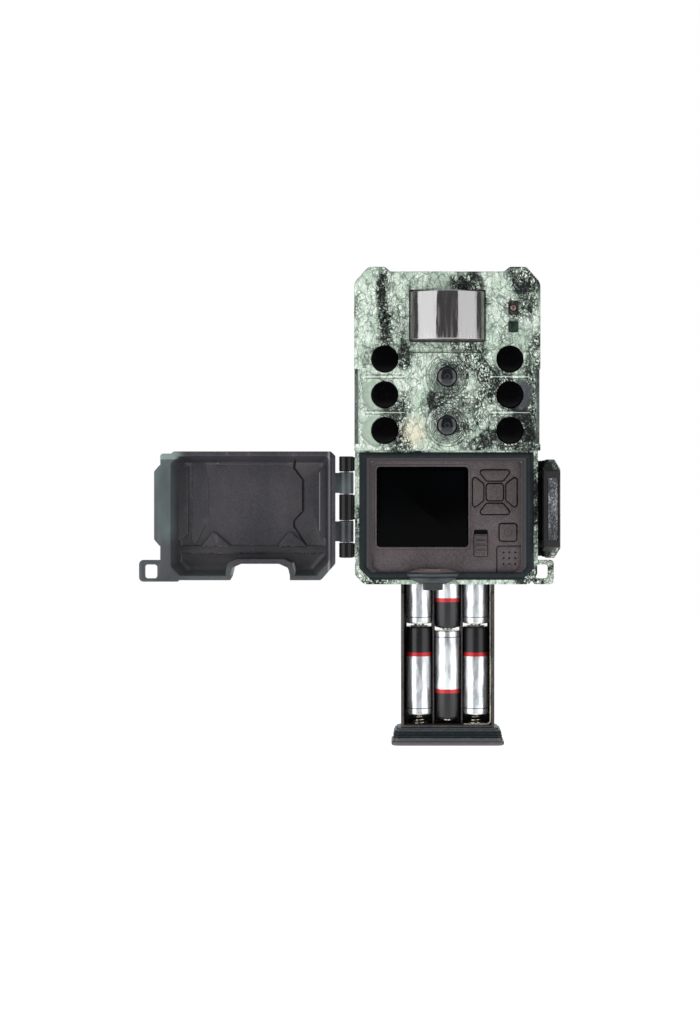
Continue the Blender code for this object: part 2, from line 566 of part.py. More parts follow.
# ---- Tray release ----
chord, rise = RELEASE_W, RELEASE_OUT
release_back = RIM_Y - 0.5 - GAP - RELEASE_TRAVEL
bow_r = ((chord / 2) ** 2 + rise ** 2) / (2 * rise)
bow = math.asin(chord / 2 / bow_r)
nose = [
    (RELEASE_X + bow_r * math.sin(bow * (i / 5 - 1)),
     release_back - rise + bow_r - bow_r * math.cos(bow * (i / 5 - 1)))
    for i in range(11)
]
release = prism(nose, RELEASE_LOW, RELEASE_HIGH, "Z")
add(
    release,
    box(stem_x - stem_w / 2, stem_x + stem_w / 2, release_back - 2.0, panel_back + 0.5,
        stem_z - stem_h / 2, stem_z + stem_h / 2),
    box(RELEASE_X - 7.2, RELEASE_X + 7.2, release_back - 5.0, release_back - 1.0,
        RELEASE_LOW - 3.6, RELEASE_LOW + 1.0),
)
finish(release, "tray_release", "slate_plastic", (RELEASE_X, release_back, stem_z))

# ---- Hinge and door, drawn open; u is the distance from the hinge axis ----
pin = rod(HINGE_X, HINGE_Y, PIN_R, KNUCKLE_Z[-1] + GAP, KNUCKLE_Z[0] - GAP, "Z")
finish(pin, "hinge_pin", "steel")

rim_y = HINGE_Y + DOOR_STANDOFF


def door_outline(inset, low_inset):
    """Rim of the door seen from the front, cut corners and all, drawn in by inset."""
    near, far = HINGE_X - DOOR_NEAR - inset, HINGE_X - DOOR_FAR + inset
    top, low = DOOR_TOP - inset, DOOR_BOTTOM + low_inset
    return [
        (far + 5.0, low), (near - 8.0, low), (near, low + 9.0), (near, top - 2.5),
        (near - 2.5, top), (far + 4.0, top), (far, top - 4.0), (far, low + 5.0),
    ]


def notch(clear, high):
    """Arched gap in the lower wall that the tray release shows through."""
    x1, x0 = HINGE_X - NOTCH_NEAR + clear, HINGE_X - NOTCH_FAR - clear
    top = DOOR_BOTTOM + NOTCH_H + clear
    return [(x0, DOOR_BOTTOM - high), (x1, DOOR_BOTTOM - high), (x1, top - 6.5),
            (x1 - 1.0, top - 2.2), (x1 - 6.0, top), (x0 + 6.0, top), (x0 + 1.0, top - 2.2),
            (x0, top - 6.5)]


door = loft([
    (door_outline(0.0, 0.0), rim_y),
    (door_outline(DOOR_DRAFT, DOOR_DRAFT * 0.6), rim_y + DOOR_DEPTH),
], "Y")
inside = loft([
    (door_outline(DOOR_WALL, DOOR_WALL), rim_y - 1.0),
    (door_outline(DOOR_WALL, DOOR_WALL), rim_y),
    (door_outline(DOOR_WALL + DOOR_DRAFT, DOOR_WALL + DOOR_DRAFT * 0.6),
     rim_y + DOOR_DEPTH - DOOR_WALL),
], "Y")
cut(inside, prism(notch(DOOR_WALL, over), rim_y - 2 * over, rim_y + 2 * DOOR_DEPTH, "Y"))
cut(door, inside, prism(notch(0.0, 2 * over), rim_y - over, rim_y + 2 * DOOR_DEPTH, "Y"))
flange_x0, flange_x1 = HINGE_X - FLANGE_FAR, HINGE_X - DOOR_FAR + 2.0
door_ear_x = 2 * HINGE_X - EAR_HOLE_X
door_parts = [
    prism([(flange_x1, FLANGE_LOW - 2.0), (flange_x1, FLANGE_HIGH + 2.0),
           (flange_x0 + 3.0, FLANGE_HIGH), (flange_x0, FLANGE_HIGH - 3.5),
           (flange_x0, FLANGE_LOW + 3.5), (flange_x0 + 3.0, FLANGE_LOW)],
          rim_y, rim_y + FLANGE_T, "Y"),
    prism(chamfered(door_ear_x - EAR_HOLE_W / 2 - EAR_EDGE, flange_x1 + 4.0,
                    EAR_HOLE_Z - EAR_HOLE_H / 2 - EAR_EDGE + 1.4,
                    EAR_HOLE_Z + EAR_HOLE_H / 2 + EAR_EDGE - 0.7, 1.5, 1.5),
          rim_y, rim_y + EAR_T, "Y"),
]
for high, low in knuckle_pairs[1::2]:
    high, low = high - GAP / 2, low + GAP / 2
    door_parts += [
        rod(HINGE_X, HINGE_Y, KNUCKLE_R, low, high, "Z"),
        box(HINGE_X - DOOR_NEAR - 1.0, HINGE_X, rim_y, HINGE_Y + KNUCKLE_R - 0.3,
            low + 0.2, high - 0.2),
    ]
add(door, *door_parts)
cut(
    door,
    rod(HINGE_X, HINGE_Y, PIN_R + PIN_FIT, KNUCKLE_Z[-1] - over, KNUCKLE_Z[0] + over, "Z"),
    prism(chamfered(door_ear_x - EAR_HOLE_W / 2, door_ear_x + EAR_HOLE_W / 2,
                    EAR_HOLE_Z - EAR_HOLE_H / 2, EAR_HOLE_Z + EAR_HOLE_H / 2, 1.2, 1.2),
          rim_y - over, rim_y + over, "Y"),
)
finish(door, "door", "brown_plastic", (HINGE_X, HINGE_Y, (DOOR_TOP + DOOR_BOTTOM) / 2))

# ---- Latch, drawn closed and then turned open about its pin ----
pin = rod(LATCH_X, LATCH_Y, LATCH_PIN_R, LATCH_LOW + LUG_T, LATCH_HIGH - LUG_T, "Z")
finish(pin, "latch_pin", "steel")
plate_x = (LATCH_X - LATCH_T / 2, LATCH_X + LATCH_T / 2)
hook_front = HOOK_Y - HOOK_T
latch = prism(
    [(plate_x[0], LATCH_Y - 1.0), (plate_x[0], HOOK_Y), (LATCH_X + HOOK_TIP, HOOK_Y),
     (LATCH_X + HOOK_TIP, hook_front), (plate_x[1] - 1.0, hook_front),
     (plate_x[1], hook_front + 1.0), (plate_x[1], LATCH_Y - 1.0)],
    LATCH_LOW, LATCH_HIGH, "Z",
)
add(latch, rod(LATCH_X, LATCH_Y, 2.9, LATCH_LOW + 0.5, LATCH_HIGH - 0.5, "Z"))
latch_cuts = [rod(LATCH_X, LATCH_Y, LATCH_PIN_R + PIN_FIT, LATCH_LOW - over, LATCH_HIGH + over, "Z")]
for low, high in lug_spans:
    latch_cuts.append(rod(LATCH_X, LATCH_Y, 6.4, low, high, "Z"))
for end, sign in ((LATCH_LOW, 1), (LATCH_HIGH, -1)):
    latch_cuts.append(prism(
        [(hook_front - over, end - sign * over), (hook_front + 9.0, end - sign * over),
         (hook_front + 9.0, end), (hook_front - over, end + sign * 10.0)],
        LATCH_X + HOOK_TIP - over, LATCH_X + LATCH_T + over, "X",
    ))
cut(latch, *latch_cuts)
latch.data.transform(
    Matrix.Translation((LATCH_X, LATCH_Y, 0.0))
    @ Matrix.Rotation(math.radians(LATCH_OPEN), 4, "Z")
    @ Matrix.Translation((-LATCH_X, -LATCH_Y, 0.0))
)
finish(latch, "latch", "black_plastic", (LATCH_X, LATCH_Y, (LATCH_LOW + LATCH_HIGH) / 2))

# ---- Battery sleeve and tray ----
tray_x0, tray_x1 = TRAY_X - TRAY_W / 2, TRAY_X + TRAY_W / 2
tray_y0, tray_y1 = TRAY_Y - TRAY_D / 2, TRAY_Y + TRAY_D / 2
room = SLEEVE_FIT + SLEEVE_WALL
sleeve = box(tray_x0 - room, tray_x1 + room, tray_y0 - room, tray_y1 + room, SLEEVE_LOW, SLEEVE_TOP)
cut(sleeve, box(tray_x0 - SLEEVE_FIT, tray_x1 + SLEEVE_FIT, tray_y0 - SLEEVE_FIT,
                tray_y1 + SLEEVE_FIT, SLEEVE_LOW - over, SLEEVE_TOP - SLEEVE_WALL))
finish(sleeve, "battery_sleeve", "black_plastic")

tray_at = (TRAY_X, TRAY_Y, TRAY_FLOOR)
tray = box(tray_x0, tray_x1, tray_y0, tray_y1, TRAY_FLOOR - TRAY_DECK, TRAY_TOP)
cell_x = [TRAY_X + i * CELL_PITCH for i in (-1, 0, 1)]
well_edges = [tray_x0 + TRAY_SIDE]
for x in (TRAY_X - CELL_PITCH / 2, TRAY_X + CELL_PITCH / 2):
    well_edges += [x - RIB_T / 2, x + RIB_T / 2]
well_edges.append(tray_x1 - TRAY_SIDE)
cut(tray, *[
    box(x0, x1, tray_y0 - over, tray_y1 - TRAY_BACK, TRAY_FLOOR, TRAY_TOP - 2.0)
    for x0, x1 in zip(well_edges[::2], well_edges[1::2])
])
cut(tray, box(well_edges[0] + 0.01, well_edges[-1] - 0.01, tray_y0 - over, tray_y0 + 4.5,
              TRAY_FLOOR + 0.01, TRAY_TOP - 2.01))
cell_full = CELL_BODY + NUB_H
outer_low = TRAY_FLOOR + SPRING_H + 2 * PIN_FIT
middle_low = TRAY_FLOOR + 1.7
cell_lows = (outer_low, middle_low, outer_low)
cut(tray, *[
    box(x - CELL_R + 0.4, x + CELL_R - 0.4, tray_y1 - TRAY_BACK - over, tray_y1 + over,
        low + cell_full - BACK_WINDOW_H / 2, low + cell_full + BACK_WINDOW_H / 2)
    for x, low in zip(cell_x, cell_lows)
])
finish(tray, "battery_tray", "brown_plastic", tray_at)


def cell(x, low, up):
    """An AA cell with its flat end at low, or its button at the bottom when up is -1."""
    ends = [(CELL_R - 0.4, 0.0), (CELL_R, 0.4), (CELL_R, CELL_BODY - 0.5), (CELL_R - 0.5, CELL_BODY),
            (NUB_R, CELL_BODY + 0.01), (NUB_R, CELL_BODY + NUB_H)]
    if up < 0:
        ends = [(r, CELL_BODY + NUB_H - at) for r, at in reversed(ends)]
    return stack(x, TRAY_Y, [(r, low + at) for r, at in ends], "Z", 20)


number = 0
for x, low, up in zip(cell_x, cell_lows, (1, -1, 1)):
    for row in range(2):
        number += 1
        finish(cell(x, low + row * (cell_full + 0.2), up), f"battery_{number}", "cell_wrap", tray_at)


def coil(x, low, high, wide, narrow):
    """A tapered compression spring of round wire, drawn as a square-section helix."""
    turns, steps = 3.0, 10
    count = int(turns * steps)
    bm = bmesh.new()
    rings = []
    for i in range(count + 1):
        share = i / count
        radius = wide + (narrow - wide) * share
        angle = 2 * math.pi * turns * share
        z = low + WIRE_R + (high - low - 2 * WIRE_R) * share
        out = Vector((math.cos(angle), math.sin(angle), 0.0))
        centre = Vector((x, TRAY_Y, z)) + out * radius
        rings.append([
            bm.verts.new(centre + out * (WIRE_R * a) + Vector((0, 0, WIRE_R * b)))
            for a, b in ((-1, 0), (0, -1), (1, 0), (0, 1))
        ])
    for low_ring, high_ring in zip(rings, rings[1:]):
        for i in range(4):
            bm.faces.new((low_ring[i], low_ring[(i + 1) % 4], high_ring[(i + 1) % 4], high_ring[i]))
    bm.faces.new(rings[0])
    bm.faces.new(rings[-1])
    return solid(bm)


spring_foot, spring_end = TRAY_FLOOR + PIN_FIT, TRAY_FLOOR + SPRING_H
finish(coil(cell_x[0], spring_foot, spring_end, 4.2, 2.6), "contact_spring_left", "steel", tray_at)
finish(coil(cell_x[2], spring_foot, spring_end, 4.2, 2.6), "contact_spring_right", "steel", tray_at)
middle_top = middle_low + 2 * cell_full + 0.2
finish(coil(cell_x[1], middle_top + PIN_FIT, TRAY_TOP - 2.0 - PIN_FIT, 2.6, 4.2),
       "contact_spring_middle", "steel", tray_at)

strip_x = tray_x1 - TRAY_SIDE - 0.25
strip = prism(
    [(strip_x, TRAY_TOP - 4.0), (strip_x - 0.7, TRAY_TOP - 4.0), (strip_x - 0.7, TRAY_FLOOR + 2.0),
     (strip_x - 2.0, TRAY_FLOOR + 0.9), (TRAY_X + 9.0, TRAY_FLOOR + 0.9),
     (TRAY_X + 9.0, TRAY_FLOOR + 0.2), (strip_x - 1.7, TRAY_FLOOR + 0.2),
     (strip_x, TRAY_FLOOR + 1.7)],
    tray_y0 + 1.3, tray_y0 + 1.9, "Y",
)
finish(strip, "contact_strip", "steel", tray_at)

cap_top = TRAY_FLOOR - TRAY_DECK - GAP
cap_low = cap_top - CAP_H


def plug(inset, low, high):
    """A block the size of the cap, drawn in by inset all round."""
    dx, dy = CAP_W / 2 - inset, CAP_D / 2 - inset
    shape = chamfered(TRAY_X - dx, TRAY_X + dx, TRAY_Y - dy, TRAY_Y + dy, 2.0, 2.0)
    return prism(shape, low, high, "Z")


groove_low, groove_high = cap_low + CAP_LIP + 2.0, cap_top - 1.9
cap = plug(0.0, cap_low, cap_low + CAP_LIP)
add(cap, plug(CAP_STEP, cap_low + 0.5, cap_top))
cut(cap, cut(plug(-1.0, groove_low, groove_high), plug(3.2, groove_low - 1.0, groove_high + 1.0)))
finish(cap, "tray_cap", "slate_plastic", tray_at)
ring = cut(plug(CAP_STEP + 0.1, groove_low + 0.2, groove_high - 0.2),
           plug(3.0, groove_low - 1.0, groove_high + 1.0))
finish(ring, "tray_seal", "seal_rubber", tray_at)
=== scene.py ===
import math

import bmesh
import bpy
from mathutils import Matrix, Vector


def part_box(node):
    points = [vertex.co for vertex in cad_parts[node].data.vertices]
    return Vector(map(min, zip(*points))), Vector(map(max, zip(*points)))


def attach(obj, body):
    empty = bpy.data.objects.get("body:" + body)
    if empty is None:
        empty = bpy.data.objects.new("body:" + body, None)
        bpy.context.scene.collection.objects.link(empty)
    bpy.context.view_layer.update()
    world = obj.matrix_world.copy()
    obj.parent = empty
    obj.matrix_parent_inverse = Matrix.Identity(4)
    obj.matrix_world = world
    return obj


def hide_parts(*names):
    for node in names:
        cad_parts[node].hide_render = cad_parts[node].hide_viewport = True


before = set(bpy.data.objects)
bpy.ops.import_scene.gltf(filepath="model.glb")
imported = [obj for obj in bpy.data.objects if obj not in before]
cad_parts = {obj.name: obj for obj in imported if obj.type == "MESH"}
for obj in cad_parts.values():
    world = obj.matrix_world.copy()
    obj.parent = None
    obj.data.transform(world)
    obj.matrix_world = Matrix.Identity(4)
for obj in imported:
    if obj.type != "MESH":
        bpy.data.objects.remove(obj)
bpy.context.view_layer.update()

# ---- Front shell ----
# The front half of the case: a glass-filled nylon moulding, dark brown through and through, with a
# bark pattern dipped onto its outside. It carries the lens bezels, the lamp pockets, the hinge
# barrels on the left, the latch lugs and the padlock ear on the right.

MM = 0.001
SMOOTH_ANGLE = math.radians(32)


def span(node):
    """Lowest and highest corner of a CAD node in millimetres: x0, x1, y0, y1, z0, z1."""
    low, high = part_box(node)
    return [value / MM for pair in zip(low, high) for value in pair]


def centre(node):
    """The middle of a CAD node's box in millimetres: x, y, z."""
    x0, x1, y0, y1, z0, z1 = span(node)
    return (x0 + x1) / 2, (y0 + y1) / 2, (z0 + z1) / 2


def fillet(points, radii, steps=5):
    """An outline with its corners rounded; radii is one number or one for each corner."""
    count = len(points)
    radii = [radii] * count if isinstance(radii, (int, float)) else radii
    out = []
    for i, radius in enumerate(radii):
        here = Vector(points[i])
        back, ahead = Vector(points[i - 1]) - here, Vector(points[(i + 1) % count]) - here
        if radius <= 0 or back.length < 1e-6 or ahead.length < 1e-6:
            out.append(tuple(here))
            continue
        turn = back.angle(ahead)
        reach = min(radius / math.tan(turn / 2), 0.49 * back.length, 0.49 * ahead.length)
        radius = reach * math.tan(turn / 2)
        middle = here + (back.normalized() + ahead.normalized()).normalized() * (
            radius / math.sin(turn / 2)
        )
        start, end = here + back.normalized() * reach, here + ahead.normalized() * reach
        a0 = math.atan2(start.y - middle.y, start.x - middle.x)
        a1 = math.atan2(end.y - middle.y, end.x - middle.x)
        sweep = (a1 - a0 + math.pi) % (2 * math.pi) - math.pi
        for step in range(steps + 1):
            angle = a0 + sweep * step / steps
            out.append((middle.x + radius * math.cos(angle), middle.y + radius * math.sin(angle)))
    return out


def grown(points, by):
    """The outline moved outwards by a distance, or inwards if it is negative."""
    area = sum(
        a[0] * b[1] - b[0] * a[1] for a, b in zip(points, points[1:] + points[:1])
    )
    side = 1 if area > 0 else -1
    out = []
    for i, point in enumerate(points):
        here = Vector(point)
        back = (here - Vector(points[i - 1])).normalized()
        ahead = (Vector(points[(i + 1) % len(points)]) - here).normalized()
        out_back = Vector((back.y, -back.x)) * side
        out_ahead = Vector((ahead.y, -ahead.x)) * side
        push = out_back + out_ahead
        scale = by / max(0.2, 1 + out_back.dot(out_ahead))
        out.append(tuple(here + push * scale))
    return out


def rectangle(x0, x1, z0, z1):
    return [(x0, z0), (x1, z0), (x1, z1), (x0, z1)]


def round_box(x0, x1, z0, z1, radius, steps=6):
    return fillet(rectangle(x0, x1, z0, z1), radius, steps)


def cut_cornered(x0, x1, z0, z1, leg):
    """A rectangle with its two lower corners cut off."""
    return [(x0 + leg, z0), (x1 - leg, z0), (x1, z0 + leg), (x1, z1), (x0, z1), (x0, z0 + leg)]


def disc(cx, cz, radius, count=64):
    return [
        (cx + radius * math.cos(2 * math.pi * i / count),
         cz + radius * math.sin(2 * math.pi * i / count))
        for i in range(count)
    ]


def keep(bm, name):
    """A linked object from a bmesh in millimetres, its faces turned outwards."""
    bmesh.ops.recalc_face_normals(bm, faces=bm.faces[:])
    mesh = bpy.data.meshes.new(name)
    bm.to_mesh(mesh)
    bm.free()
    made = bpy.data.objects.new(name, mesh)
    bpy.context.scene.collection.objects.link(made)
    return made


def loft(rings, axis="Y", name="tool"):
    """A closed solid through outlines of equal count, each with its distance along an axis."""
    bm = bmesh.new()
    loops = []
    for points, at in rings:
        spots = {
            "X": [(at, a, b) for a, b in points],
            "Y": [(a, at, b) for a, b in points],
            "Z": [(a, b, at) for a, b in points],
        }[axis]
        loops.append([bm.verts.new(spot) for spot in spots])
    for low, high in zip(loops, loops[1:]):
        for i in range(len(low)):
            j = (i + 1) % len(low)
            bm.faces.new((low[i], low[j], high[j], high[i]))
    bm.faces.new(loops[0])
    bm.faces.new(loops[-1])
    return keep(bm, name)


def block(points, low, high, edge_low=0.0, edge_high=0.0, axis="Y", name="tool", steps=4):
    """An outline pushed along an axis, with its end edges rounded to the given radii."""
    rings = []
    for end, radius, sign in ((low, edge_low, 1), (high, edge_high, -1)):
        stretch = []
        for step in range(steps + 1 if radius else 1):
            angle = math.pi / 2 * step / steps
            inset = radius * (1 - math.sin(angle)) if radius else 0.0
            rise = radius * (1 - math.cos(angle)) if radius else 0.0
            stretch.append((grown(points, -inset), end + sign * rise))
        rings += stretch if sign > 0 else stretch[::-1]
    return loft(rings, axis, name)


def well(points, face, depth, flare=0.4, axis="Y", sign=1):
    """A cutter for a recess: the outline sunk by depth from face, with an eased mouth."""
    rings = [
        (grown(points, flare * 2), face - sign * flare),
        (grown(points, flare), face),
        (grown(points, flare * 0.3), face + sign * flare * 0.3),
        (points, face + sign * flare),
        (points, face + sign * (depth - flare * 0.6)),
        (grown(points, -flare * 0.6), face + sign * depth),
    ]
    return loft(rings, axis)


def turned(cx, cz, steps, axis="Y", count=64, name="tool"):
    """A solid turned on an axis, from (radius, distance) steps."""
    return loft([(disc(cx, cz, radius, count), at) for radius, at in steps], axis, name)


def rod(cx, cz, radius, low, high, axis="Y", count=32):
    return turned(cx, cz, [(radius, low), (radius, high)], axis, count)


def eased(radius, low, high, ease):
    """The steps of a rod with eased ends, for turned."""
    return [(radius - ease, low), (radius, low + ease), (radius, high - ease), (radius - ease, high)]


def cuboid(x0, x1, y0, y1, z0, z1):
    return loft([(rectangle(x0, x1, y0, y1), z0), (rectangle(x0, x1, y0, y1), z1)], "Z")


def combine(body, tools, operation):
    """Boolean the tools into body and drop them."""
    for tool in tools:
        step = body.modifiers.new("step", "BOOLEAN")
        step.operation = operation
        step.solver = "EXACT"
        step.object = tool
    graph = bpy.context.evaluated_depsgraph_get()
    body.data = bpy.data.meshes.new_from_object(body.evaluated_get(graph))
    body.modifiers.clear()
    for tool in tools:
        bpy.data.objects.remove(tool, do_unlink=True)
    return body


def cut(body, *tools):
    return combine(body, tools, "DIFFERENCE")


def weld(body, *tools):
    return combine(body, tools, "UNION")


def line_cutter(line, width, low, high, axis="Y"):
    """A cutter for a groove that runs along the inside of an outline."""
    made = block(line, low, high, axis=axis)
    return cut(made, block(grown(line, -width), low - 1, high + 1, axis=axis))


def soften(body, width, segments=2):
    """Round every remaining sharp edge by a small width."""
    bevel = body.modifiers.new("edge", "BEVEL")
    bevel.width = width
    bevel.segments = segments
    bevel.limit_method = "ANGLE"
    bevel.angle_limit = math.radians(38)
    bevel.use_clamp_overlap = True
    graph = bpy.context.evaluated_depsgraph_get()
    body.data = bpy.data.meshes.new_from_object(body.evaluated_get(graph))
    body.modifiers.clear()
    return body


def ready(piece, name, body, finish, slot, *nodes):
    """Scale a piece to metres, shade it, give it its finish and tie it to the frame."""
    piece.name = name
    mesh = piece.data
    mesh.transform(Matrix.Scale(MM, 4))
    bm = bmesh.new()
    bm.from_mesh(mesh)
    bmesh.ops.remove_doubles(bm, verts=bm.verts[:], dist=1e-6)
    bmesh.ops.dissolve_degenerate(bm, edges=bm.edges[:], dist=1e-6)
    for face in bm.faces:
        face.smooth = True
    for edge in bm.edges:
        edge.smooth = len(edge.link_faces) == 2 and edge.calc_face_angle(0) < SMOOTH_ANGLE
    bm.to_mesh(mesh)
    bm.free()
    mesh.materials.clear()
    mesh.materials.append(finish)
    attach(piece, body)
    if nodes:
        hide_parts(*nodes)
    return piece


class Wire:
    """A socket on its way through a shader; arithmetic on it adds Math nodes."""

    def __init__(self, tree, socket=None):
        self.tree = tree
        self.socket = socket

    def node(self, kind, settings=None, inputs=None, out=0):
        """A new node: its type, its settings, and the values or wires of its sockets."""
        made = self.tree.nodes.new("ShaderNode" + kind)
        for key, value in (settings or {}).items():
            if key == "stops":
                ramp = made.color_ramp.elements
                while len(ramp) < len(value):
                    ramp.new(0.5)
                for stop, (at, colour) in zip(ramp, value):
                    stop.position = at
                    stop.color = (*colour, 1.0)
            else:
                setattr(made, key, value)
        for key, value in (inputs or {}).items():
            if isinstance(value, Wire):
                self.tree.links.new(value.socket, made.inputs[key])
            elif value is not None:
                made.inputs[key].default_value = value
        return Wire(self.tree, made.outputs[out])

    def maths(self, operation, *values):
        return self.node("Math", {"operation": operation}, dict(enumerate(values)))

    def largest(self, other):
        return self.maths("MAXIMUM", self, other)

    def smallest(self, other):
        return self.maths("MINIMUM", self, other)

    def size(self):
        return self.maths("ABSOLUTE", self)

    def root(self):
        return self.maths("SQRT", self)

    def __add__(self, other):
        return self.maths("ADD", self, other)

    def __sub__(self, other):
        return self.maths("SUBTRACT", self, other)

    def __rsub__(self, other):
        return self.maths("SUBTRACT", other, self)

    def __mul__(self, other):
        return self.maths("MULTIPLY", self, other)

    def __truediv__(self, other):
        return self.maths("DIVIDE", self, other)

    def __gt__(self, other):
        return self.maths("GREATER_THAN", self, other)

    def __lt__(self, other):
        return self.maths("LESS_THAN", self, other)

    __radd__ = __add__
    __rmul__ = __mul__


def rgb(red, green, blue):
    """A colour given as 0 to 255 on a screen, as the linear values that a shader takes."""
    return tuple(
        value / 12.92 if value <= 0.04045 else ((value + 0.055) / 1.055) ** 2.4
        for value in (red / 255, green / 255, blue / 255)
    )


def fade(value, low, high):
    """0 below low and 1 above high, with a smooth ramp between."""
    return value.node("MapRange", {"interpolation_type": "SMOOTHSTEP"},
                      {0: value, 1: low, 2: high, 3: 0.0, 4: 1.0})


def near(value, at, full, gone):
    """1 within full of a value, and 0 beyond gone from it."""
    return 1 - fade((value - at).size(), full, gone)


def between(value, low, high):
    return (value > low) * (value < high)


def blend(mask, under, over):
    """Colour under where mask is 0 and over where it is 1."""
    sides = {6: under, 7: over}
    sides = {key: c if isinstance(c, Wire) else (*c, 1.0) for key, c in sides.items()}
    return mask.node("Mix", {"data_type": "RGBA"}, {0: mask, **sides}, out=2)


def begin(name, rough, metal=0.0, specular=0.5):
    """A new Principled finish: its material, its shader node and its coordinates."""
    made = bpy.data.materials.new(name)
    made.use_nodes = True
    shader = made.node_tree.nodes["Principled BSDF"]
    shader.inputs["Roughness"].default_value = rough
    shader.inputs["Metallic"].default_value = metal
    shader.inputs["Specular IOR Level"].default_value = specular
    here = Wire(made.node_tree).node("TexCoord", out=3)
    return made, shader, here


def feed(shader, **wires):
    """Link wires to a shader's sockets; a name such as Base_Color stands for Base Color."""
    for name, wire in wires.items():
        wire.tree.links.new(wire.socket, shader.inputs[name.replace("_", " ")])


def noise(here, scale, detail=2.0, rough=0.5, warp=0.0):
    return here.node("TexNoise", None, {
        "Vector": here, "Scale": scale, "Detail": detail, "Roughness": rough, "Distortion": warp,
    })


def cracks(here, scale, thin, wide):
    """Fine lines along the edges between scattered cells."""
    gap = here.node("TexVoronoi", {"feature": "DISTANCE_TO_EDGE"}, {"Vector": here, "Scale": scale})
    return 1 - fade(gap, thin, wide)


def wavered(here, scale, reach):
    """The same coordinates pushed about by a soft noise, for ragged lines."""
    push = here.node("TexNoise", None, {"Vector": here, "Scale": scale, "Detail": 3.0}, out=1)
    push = push.node("VectorMath", {"operation": "SUBTRACT"}, {0: push, 1: (0.5, 0.5, 0.5)})
    return push.node("VectorMath", {"operation": "MULTIPLY_ADD"},
                     {0: push, 1: (reach, reach, reach), 2: here})


def stretched(here, x, y, z):
    return here.node("Mapping", None, {"Vector": here, "Scale": (x, y, z)})


def places(here):
    """The x, y and z of a point in millimetres."""
    return [here.node("SeparateXYZ", None, {0: here}, out=i) * (1 / MM) for i in range(3)]


def bumped(here, height, strength, distance):
    return here.node("Bump", None, {"Strength": strength, "Distance": distance, "Height": height})


MINT, PALE, SAGE = rgb(190, 210, 192), rgb(226, 240, 226), rgb(138, 152, 140)
SLATE_GREEN, SOOT, TAN = rgb(66, 74, 73), rgb(10, 13, 12), rgb(212, 196, 166)
# Painted shade tones, for creases beside ridges, under ledges and in recesses.
RIDGE_SHADE, SHADE = rgb(34, 38, 36), rgb(30, 34, 32)


def vein(value, thin, wide):
    """1 along the middle contour of a noise, fading out to either side."""
    return 1 - fade((value - 0.5).size(), thin, wide)


def bark(here, lean=0.0):
    """The dipped bark print: its colour, where its dark lines run, and its fine speckle."""
    ragged = wavered(here, 230.0, 0.0062)
    grain = stretched(here, 1.0, 1.0, 0.7)
    patches = noise(grain, 40.0, 3.0, 0.55, 0.8) + lean
    blotches = noise(grain, 130.0, 4.0, 0.62, 1.2) + lean * 0.5
    speckle = noise(grain, 900.0, 3.0, 0.7, 0.5)
    long_cracks = cracks(stretched(ragged, 1.0, 1.0, 0.42), 290.0, 0.02, 0.085)
    fine_cracks = cracks(stretched(ragged, 1.0, 1.0, 0.75), 560.0, 0.03, 0.19)
    hair = vein(noise(grain, 480.0, 5.0, 0.7, 1.4), 0.012, 0.05)
    busy = fade(patches, 0.40, 0.58)
    colour = blend(fade(blotches, 0.58, 0.42), MINT, PALE)
    colour = blend(fade(speckle, 0.44, 0.60) * (busy * 0.6 + 0.25), colour, SAGE)
    colour = blend(fade(blotches * 0.5 + patches * 0.5, 0.54, 0.60) * 0.85, colour, SLATE_GREEN)
    lines = (long_cracks * (busy * 0.3 + 0.7)).largest(fine_cracks * (busy * 0.7 + 0.3))
    lines = lines.largest(hair * (busy * 0.4 + 0.5))
    lines = lines.largest(fade(speckle * 0.4 + blotches * 0.25 + patches * 0.35, 0.545, 0.585))
    return blend(lines, colour, SOOT), lines, speckle


def printed(shader, here, colour, lines, speckle, base=0.42):
    """Feed a finish that carries the print: satin, with a fine relief along its lines."""
    feed(shader, Base_Color=colour, Roughness=base + speckle * 0.24,
         Normal=bumped(here, noise(here, 2600.0) * 0.5 + lines * 0.25, 0.25, 0.00012))


case_x0, case_x1, shell_split, case_back, case_z0, case_z1 = span("rear_housing")
front_y, rear_of_front = span("front_housing")[2], span("front_housing")[3]
seal_x0, seal_x1, seal_y, _, seal_z0, seal_z1 = span("compartment_seal")
rim_y = seal_y + 0.5
hood_z = seal_z1 + 1.1
panel_x0, panel_x1, panel_y, panel_back, panel_z0, panel_z1 = span("control_panel")
panel_lap = 2.6
window_x = centre("ir_window_right_upper")[0]
window_z = [centre(f"ir_window_right_{level}")[2] for level in ("upper", "middle", "lower")]
lens_z = [centre(f"lens_barrel_{level}")[2] for level in ("upper", "lower")]
bezel_r = span("lens_barrel_upper")[1]
wall = 2.5
side_wall = 4.0

ear_rise, ear_drop, ear_cut = 2.5, 8.5, 7.5
ear_in, ear_foot, foot_cut = 33.5, 30.5, 5.0
half = case_x1
case_shape = [
    (-half + foot_cut, case_z0), (half - foot_cut, case_z0), (half, case_z0 + foot_cut),
    (half, case_z1 - ear_drop), (half - ear_cut, case_z1), (ear_in, case_z1),
    (ear_foot, case_z1 - ear_rise), (-ear_foot, case_z1 - ear_rise), (-ear_in, case_z1),
    (-half + ear_cut, case_z1), (-half, case_z1 - ear_drop), (-half, case_z0 + foot_cut),
]
case_outline = fillet(case_shape, [3, 3, 3, 6, 3.5, 2.2, 2.2, 2.2, 2.2, 3.5, 6, 3])

front = block(case_outline, front_y, rear_of_front, 1.5, 0.3)
cut(front, cuboid(-half - 5, half + 5, front_y - 5, rim_y, case_z0 - 5, hood_z))
room, room_top = side_wall - half, case_z1 - 7.5
cut(
    front,
    cuboid(room, -room, front_y + wall, rear_of_front + 5, hood_z + wall, room_top),
    cuboid(room, -room, rim_y + wall, rear_of_front + 5, case_z0 + wall, hood_z + 2 * wall),
)

